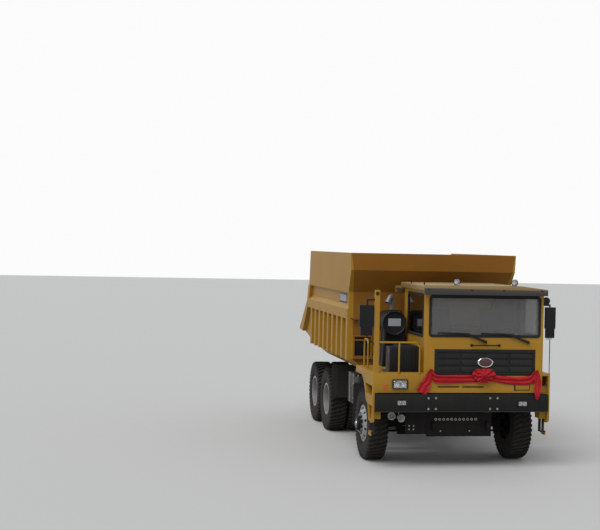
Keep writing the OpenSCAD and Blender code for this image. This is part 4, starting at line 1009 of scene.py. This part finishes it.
seat_cloth = woven("seat cloth", tone(52, 54, 58), 0.004, 0.3)
seat_at, other_seat = 0.95, Vector((-1.05, 0, 0))
cushion = stuffed((seat_at - 0.23, -3.24, 2.215), (seat_at + 0.23, -2.8, 2.315),
                  (seat_at - 0.12, seat_at + 0.12), (0, 0, 1))
rest = stuffed((seat_at - 0.22, -2.885, 2.345), (seat_at + 0.22, -2.825, 2.94),
               (seat_at - 0.11, seat_at + 0.11), (0, -1, 0))
for corner in rest.data.vertices:
    corner.co.y += (corner.co.z - 2.325) * 0.176
for pad, name in ((cushion, "seat_cushion"), (rest, "seat_back")):
    second = joined(twin_of(pad, other_seat))
    for one, place in ((pad, "driver"), (second, "mate")):
        fitted(one, f"{name}_{place}", seat_cloth, angle=60)
stands = []
for x in (seat_at, seat_at + other_seat.x):
    stands.append(slab((x - 0.19, -3.175, 1.796), (x + 0.19, -2.785, 2.0)))
    skirt = slab((x - 0.17, -3.155, 2.0), (x + 0.17, -2.8, 2.2))
    for corner in skirt.data.vertices:
        if corner.co.z > 2.1:
            corner.co.x = x + (corner.co.x - x) * 1.3
    stands.append(skirt)
    stands.append(slab((x - 0.2, -2.815, 2.19), (x + 0.2, -2.79, 2.4)))
stand = fitted(stands, "seat_stands", moulded_black, soft=0.012)
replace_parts(stand, "seats")

# Platform and steps: folded ochre plate with raised tread bars on the deck and open pockets for the feet.
# Each pocket is a welded box, and the deck's bars are pressed up out of the plate.
deck_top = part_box("right_deck")[1].z
pocket_front = -4.085


def step_wedge(out_x, in_x, rear_low, rear_high, low_z, high_z, spare):
    """A block for a foot pocket, whose rear end leans with the wheel arch."""
    block = slab((out_x, pocket_front - spare, low_z - spare), (in_x, rear_high + spare, high_z + spare))
    for corner in block.data.vertices:
        if corner.co.y > pocket_front and corner.co.z < (low_z + high_z) / 2:
            corner.co.y = rear_low + spare
    return block


pockets = []
pocket_shapes = ((-3.84, -3.79, 0.94, 1.181), (-3.565, -3.505, 1.37, 1.551))
openings = joined(*[step_wedge(-1.72, -1.64, *shape, 0) for shape in pocket_shapes])
for shape in pocket_shapes:
    pockets.append(sunk(step_wedge(-1.659, -1.53, *shape, 0.001), (-1, 0, 0), 0.004, 0.122))
for node, hand in (("right_deck", 1), ("left_steps", -1)):
    deck = cut(softened(node, ochre, 0.006), joined(twin_of(openings, Matrix.Diagonal((hand, 1, 1, 1)))))
    second_finish(deck, rubber, lambda face: 0.7 < face.center.z < 0.9 and 1.6 < abs(face.center.x) < 1.665)
bpy.data.objects.remove(openings)
fitted(both(pockets), "step_pockets", ochre)
bars = []
for row in range(24):
    for column in range(6):
        lean = 35 if (row + column) % 2 else -35
        spot = Vector((-1.62 + column * 0.06, -4.05 + row * 0.06, deck_top))
        if not -3.33 < spot.y < -2.93 or spot.x > -1.6:
            bars.append(moved_to(*spot) @ turn_about("Z", lean))
bar_shape = slab((-0.017, -0.004, -0.001), (0.017, 0.004, 0.003))
for corner in bar_shape.data.vertices:
    if corner.co.z > 0:
        corner.co.x *= 0.8
        corner.co.y *= 0.5
fitted(set_out(bar_shape, bars), "deck_tread", ochre)
grips = []
for z in (0.69, 0.941, 1.371):
    for step in range(5):
        grips.append(slab((-1.7, -3.99 + step * 0.04, z), (-1.655, -3.982 + step * 0.04, z + 0.006)))
grips.append(slab((-1.692, -3.995, 0.615), (-1.676, -3.805, 0.692)))
fitted(both(grips), "step_grips", ochre, soft=0.001, steps=1)

# Handrails: bent steel tube, welded to round feet that are bolted to the deck.
# The cab's corner post has a dark lifting eye near its top, and two studs stand at the roof's side.
rails = softened("handrails", ochre, 0)
for corner in rails.data.vertices:
    if corner.co.x < -1.6 and corner.co.y > -3.4:
        corner.co.x += 0.06
feet = []
for x, y in ((-1.21, -4.115), (-0.82, -4.115), (-1.615, -3.295), (-1.615, -2.975)):
    feet.append(turned([(0.018, 0), (0.045, 0), (0.045, 0.008), (0.024, 0.012), (0.018, 0.012)],
                       (x, y, deck_top), upright, steps=28))
fitted(feet, "rail_feet", ochre)
eye = turned([(0.001, 0), (0.034, 0), (0.034, 0.006), (0.02, 0.008), (0.012, 0.003), (0.001, 0.003)],
             (-1.645, front_face, 3.255), steps=32)
studs = [tube([(-0.785, y, 3.425), (-0.785, y, top)], 0.012) for y, top in ((-3.245, 3.49), (-4.205, 3.475))]
fitted([eye, *studs], "post_eye_and_roof_studs", lamp_case)

# Mirrors: black moulded heads on bent tube arms, with flat silvered glass in their backs.
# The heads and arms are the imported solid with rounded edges. A small round mirror stands over the left one.
mirrors = softened("mirrors", moulded_black, 0.014)
right_at, widening, arm_lift, head_lift = -1.84, 1.12, 0.06, 0.045
left_from, left_to, narrowing = 1.75, 1.685, 0.83
for corner in mirrors.data.vertices:
    if corner.co.x > 1.6:
        corner.co.x = left_to + (corner.co.x - left_from) * narrowing
        if corner.co.z < 2.5:
            corner.co.z += head_lift
    elif corner.co.x < 0 and corner.co.z > 3.045:
        corner.co.z += arm_lift
    elif corner.co.x < right_at - 0.05 or corner.co.x > right_at + 0.05 and corner.co.z < 3.05:
        corner.co.x = right_at + (corner.co.x - right_at) * widening
round_at = (1.61, -4.13, 3.155)
round_head = turned([(0.001, 0), (0.05, 0.004), (0.072, 0.02), (0.074, 0.034), (0.062, 0.036),
                     (0.058, 0.022), (0.001, 0.016)], round_at, (0, 1, 0), steps=40)
round_stalk = tube([(1.61, -4.115, 3.09), (1.61, -4.12, 3.078)], 0.009)
fitted([round_head, round_stalk], "round_mirror", moulded_black, soft=0.001)
brace = tube([(-1.85, -4.115, 2.49), (-1.69, -4.115, 2.32)], 0.011)
stay = tube([(1.69, -4.115, 2.43), (1.69, -4.115, 1.6), (1.56, -4.115, 1.56)], 0.008, bend=0.03)
fitted([brace, stay], "mirror_stays", moulded_black)
mirror_glass = painted("mirror glass", tone(190, 194, 196), 0.04, dust=0.02, chips=0, metallic=1.0,
                       bump=0.0001)
glasses = []
for x, low_z, share in ((-1.84, 2.48, 1), (left_to, 2.42, narrowing)):
    glasses.append(panel((x, -4.086, 2.84), 0.2 * share, 0.36, 0.003, corner=0.03, facing=180))
    glasses.append(panel((x, -4.086, (low_z + 2.64) / 2), 0.16 * share, 2.62 - low_z, 0.003, corner=0.03,
                         facing=180))
glasses.append(turned([(0.001, 0.018), (0.058, 0.023), (0.058, 0.027), (0.001, 0.031)],
                      round_at, (0, 1, 0), steps=40))
fitted(glasses, "mirror_glasses", mirror_glass, soft=0.001)

# Air cleaner: a rolled drum in satin black with two raised bands, over a moulded box on the deck.
# Its end cover has a blank label and is held by clips, and a carrying handle arches over it.
cleaner = Vector((-1.03, -2.975, 2.64))
drum = turned([(0.001, 0.012), (0.205, 0.012), (0.215, 0), (0.23, 0), (0.237, 0.012), (0.237, 0.056),
               (0.225, 0.062), (0.225, 0.2), (0.231, 0.205), (0.231, 0.24), (0.225, 0.245), (0.225, 0.48),
               (0.231, 0.485), (0.231, 0.52), (0.225, 0.525), (0.225, 0.69), (0.212, 0.725), (0.15, 0.75),
               (0.001, 0.75)], cleaner, (0, 1, 0), steps=64)
handle = tube([cleaner + Vector((-0.15, 0.03, 0.17)), cleaner + Vector((-0.13, 0.03, 0.25)),
               cleaner + Vector((0.13, 0.03, 0.25)), cleaner + Vector((0.15, 0.03, 0.17))], 0.011, bend=0.1)
under = slab((-1.25, -2.925, 1.795), (-0.775, -2.645, 2.56))
for corner in under.data.vertices:
    if corner.co.z > 2.5:
        corner.co.x = cleaner.x + (corner.co.x - cleaner.x) * 0.86
sunk(under, (0, -1, 0), 0.05, 0.012)
sunk(under, (-1, 0, 0), 0.05, 0.012)
cleaner_clips = []
for angle in (20, 110, 200, 290):
    around = Vector((math.cos(math.radians(angle)), 0, math.sin(math.radians(angle))))
    clip = slab((-0.018, -0.008, -0.006), (0.018, 0.07, 0.008))
    clip.matrix_world = moved_to(*(cleaner + around * 0.238)) @ turn_about("Y", 90 - angle)
    cleaner_clips.append(clip)
air_cleaner = fitted([drum, handle, under, *cleaner_clips], "air_cleaner_drum", moulded_black, soft=0.003)
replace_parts(air_cleaner, "air_cleaner")
label_grey = painted("blank label", tone(150, 154, 158), 0.5, dust=0.1, chips=0, shine=0.3)
label = panel(cleaner + Vector((0, 0.0125, 0.018)), 0.25, 0.145, 0.0015, corner=0.01)
fitted(label, "blank_label", label_grey)

# Louvred cover beside the cab: folded black sheet with upright ribs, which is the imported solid.
# In front of it stands a wider ribbed cover with a grey end plate, on a pale foot.
softened("side_box", grille_black, 0.005)
shroud = [slab((-1.345, -3.94, deck_top), (-0.775, -3.66, 2.262))]
for step in range(9):
    rib_x = -1.325 + step * 0.061
    shroud.append(slab((rib_x, -3.956, deck_top + 0.03), (rib_x + 0.025, -3.938, 2.235)))
fitted(shroud, "ribbed_cover", grille_black, soft=0.005)
cover_grey = painted("cover grey", tone(80, 76, 76), 0.6, dust=0.1, chips=0, shine=0.2)
end_plate = panel((-1.345, -3.8, 2.03), 0.27, 0.45, 0.01, corner=0.01, facing=-90)
sunk(end_plate, (-1, 0, 0), 0.03, 0.004)
fitted(end_plate, "cover_end_plate", cover_grey, soft=0.002)
foot = slab((-1.45, -3.93, deck_top), (-1.356, -3.7, deck_top + 0.035))
fitted(foot, "cover_foot", cover_grey, soft=0.004)

# Bed: welded wear plate with upright ribs, a side rail, a sloping board and a canopy, all in ochre enamel.
# It is the imported solids with eased edges. A darker ochre is painted shade on the faces that look forward or
# down, the front wall's outer face and the canopy's underside, and black rubber pads fill the frames at the
# wall's sides.
for node in ("bed_floor", "bed_sides"):
    softened(node, ochre, 0.006, angle=12)
# Painted shade: a darker ochre for the bed front's faces that look forward or down.
shaded_ochre = painted("ochre with painted shade", tone(132, 87, 28), 0.6, dust=0.06, shine=0.15)
second_finish(softened("bed_front", ochre, 0.006, angle=12), shaded_ochre,
              lambda face: face.normal.y < -0.3 or face.normal.z < -0.3)
wall_face = -1.675
pads = [panel((-1.395, wall_face, 2.045), 0.35, 0.29, 0.012, corner=0.006),
        panel((-1.395, wall_face, 2.255), 0.35, 0.045, 0.008, corner=0.004)]
fitted(both(pads), "front_wall_pads", moulded_black, "bed", soft=0.003)
hose = tube([(-1.64, -1.74, 2.66), (-1.6, -1.76, 2.635), (-1.52, -1.755, 2.62), (-1.47, -1.74, 2.64)],
            0.018, bend=0.03)
hose_rubber = painted("red brown rubber", tone(96, 34, 26), 0.6, dust=0.1, chips=0)
fitted(hose, "hose_clipped_to_wall", hose_rubber, "bed")
plate_edge = panel((-1.62, -0.84, 3.035), 0.74, 0.2, 0.004, corner=0.012, facing=-90)
plate_blank = panel((-1.623, -0.84, 3.035), 0.68, 0.14, 0.003, corner=0.008, facing=-90)
fitted(both(plate_edge), "side_plate_edges", moulded_black, "bed", soft=0.001)
fitted(both(plate_blank), "side_plates_blank", label_grey, "bed")

# Sash: a length of red satin gathered along the front, with a ruffled rosette and two hanging ends.
# Each is one sheet, shaped and laid in folds on the panel below the grille.
sash_red = woven("red satin", tone(158, 8, 24), 0.003, 0.08, rough=0.6, depth=0.0004)
random.seed(7)


def spread(stations, share):
    """The values at a share of the way along a list of stations, on a smooth curve through them."""
    last = len(stations) - 1
    place = min(share * last, last - 0.000001)
    first = int(place)
    part = place - first
    before, here, there, after = (stations[min(max(first + step, 0), last)] for step in (-1, 0, 1, 2))
    values = []
    for was, now, then, later in zip(before, here, there, after):
        bow = 2 * was - 5 * now + 4 * then - later
        twist = 3 * now - was - 3 * then + later
        values.append(0.5 * (2 * now + (then - was) * part + bow * part ** 2 + twist * part ** 3))
    return values


def gathered(stations, folds, depth, columns, rows=44):
    """A sheet in lengthwise folds through stations of (x, y, z, width)."""
    loose()
    bpy.ops.mesh.primitive_grid_add(x_subdivisions=columns, y_subdivisions=rows, size=1)
    cloth = bpy.context.object
    phases = [random.uniform(0, 6.28) for _ in range(6)]
    for corner in cloth.data.vertices:
        share, across = corner.co.x + 0.5, corner.co.y + 0.5
        x, y, z, width = spread(stations, share)
        nearby = spread(stations, min(share + 0.01, 1.0))
        back = spread(stations, max(share - 0.01, 0.0))
        along = Vector((nearby[0] - back[0], 0, nearby[2] - back[2])).normalized()
        over = Vector((-along.z, 0, along.x))
        swing = 0.35 * math.sin(share * 9 + phases[0]) + 0.2 * math.sin(share * 23 + phases[1])
        fold = math.sin(across * folds * 6.28 + swing * 3 + phases[2])
        small = math.sin(across * folds * 15 + share * 31 + phases[3])
        slope = 0.1 * math.sin(share * 17 + across * 5 + phases[4])
        lift = depth * (0.5 + 0.5 * fold) + depth * 0.16 * (1 + small) + depth * abs(slope)
        corner.co = Vector((x, y - 0.004 - lift, z)) + over * width * (across - 0.5)
    return cloth


near, far = front_face - 0.004, bumper_front - 0.008
band = gathered([(-0.61, near, 1.85, 0.09), (-0.58, near, 1.755, 0.12), (-0.48, near, 1.69, 0.15),
                 (-0.12, near, 1.69, 0.155), (0.2, near, 1.695, 0.14), (0.39, near, 1.70, 0.1),
                 (0.6, near, 1.70, 0.12), (0.78, near, 1.68, 0.14), (1.03, near, 1.653, 0.152),
                 (1.25, near, 1.665, 0.165), (1.36, near, 1.71, 0.15), (1.42, near, 1.83, 0.09)],
                2, 0.024, 150)
fitted(band, "sash_band", sash_red, angle=80)
right_end = [(-0.6, near - 0.01, 1.875, 0.05), (-0.655, near - 0.012, 1.74, 0.12),
             (-0.7, near - 0.012, 1.61, 0.18), (-0.8, near - 0.01, 1.44, 0.215)]
left_end = [(1.42, near - 0.015, 1.86, 0.05), (1.44, near - 0.02, 1.73, 0.115),
            (1.445, near - 0.03, 1.58, 0.14), (1.425, far, 1.42, 0.11), (1.42, far, 1.31, 0.04)]
for stations, name, length in ((right_end, "right", 0.47), (left_end, "left", 0.56)):
    end = gathered(stations, 2, 0.02, 60, 30)
    fitted(end, f"sash_end_{name}", sash_red, angle=80)
ruffles, layers = [], ((0.21, 0.03, 9), (0.165, 0.065, 8), (0.11, 0.095, 6), (0.06, 0.115, 5))
for layer, (radius, stand, waves) in enumerate(layers):
    loose()
    bpy.ops.mesh.primitive_grid_add(x_subdivisions=120, y_subdivisions=14, size=1)
    ruffle = bpy.context.object
    for corner in ruffle.data.vertices:
        angle, reach = (corner.co.x + 0.5) * 2 * math.pi, corner.co.y + 0.5
        flutter = math.sin(angle * waves + layer) + 0.5 * math.sin(angle * (waves * 2 + 1) + 2 * layer)
        out = radius * reach * (1 + 0.1 * math.sin(angle * 3 + layer * 2) + 0.05 * flutter)
        lift = stand * (1 - 0.7 * reach ** 2) + 0.018 * reach * (1.5 + flutter)
        corner.co = (0.39 + out * math.cos(angle), near - lift - 0.02, 1.765 + 0.66 * out * math.sin(angle))
    ruffles.append(ruffle)
rosette = joined(*ruffles)
with editing():
    bpy.ops.mesh.remove_doubles(threshold=0.0005)
fitted(rosette, "sash_rosette", sash_red, angle=80)
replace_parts(band, "sash")
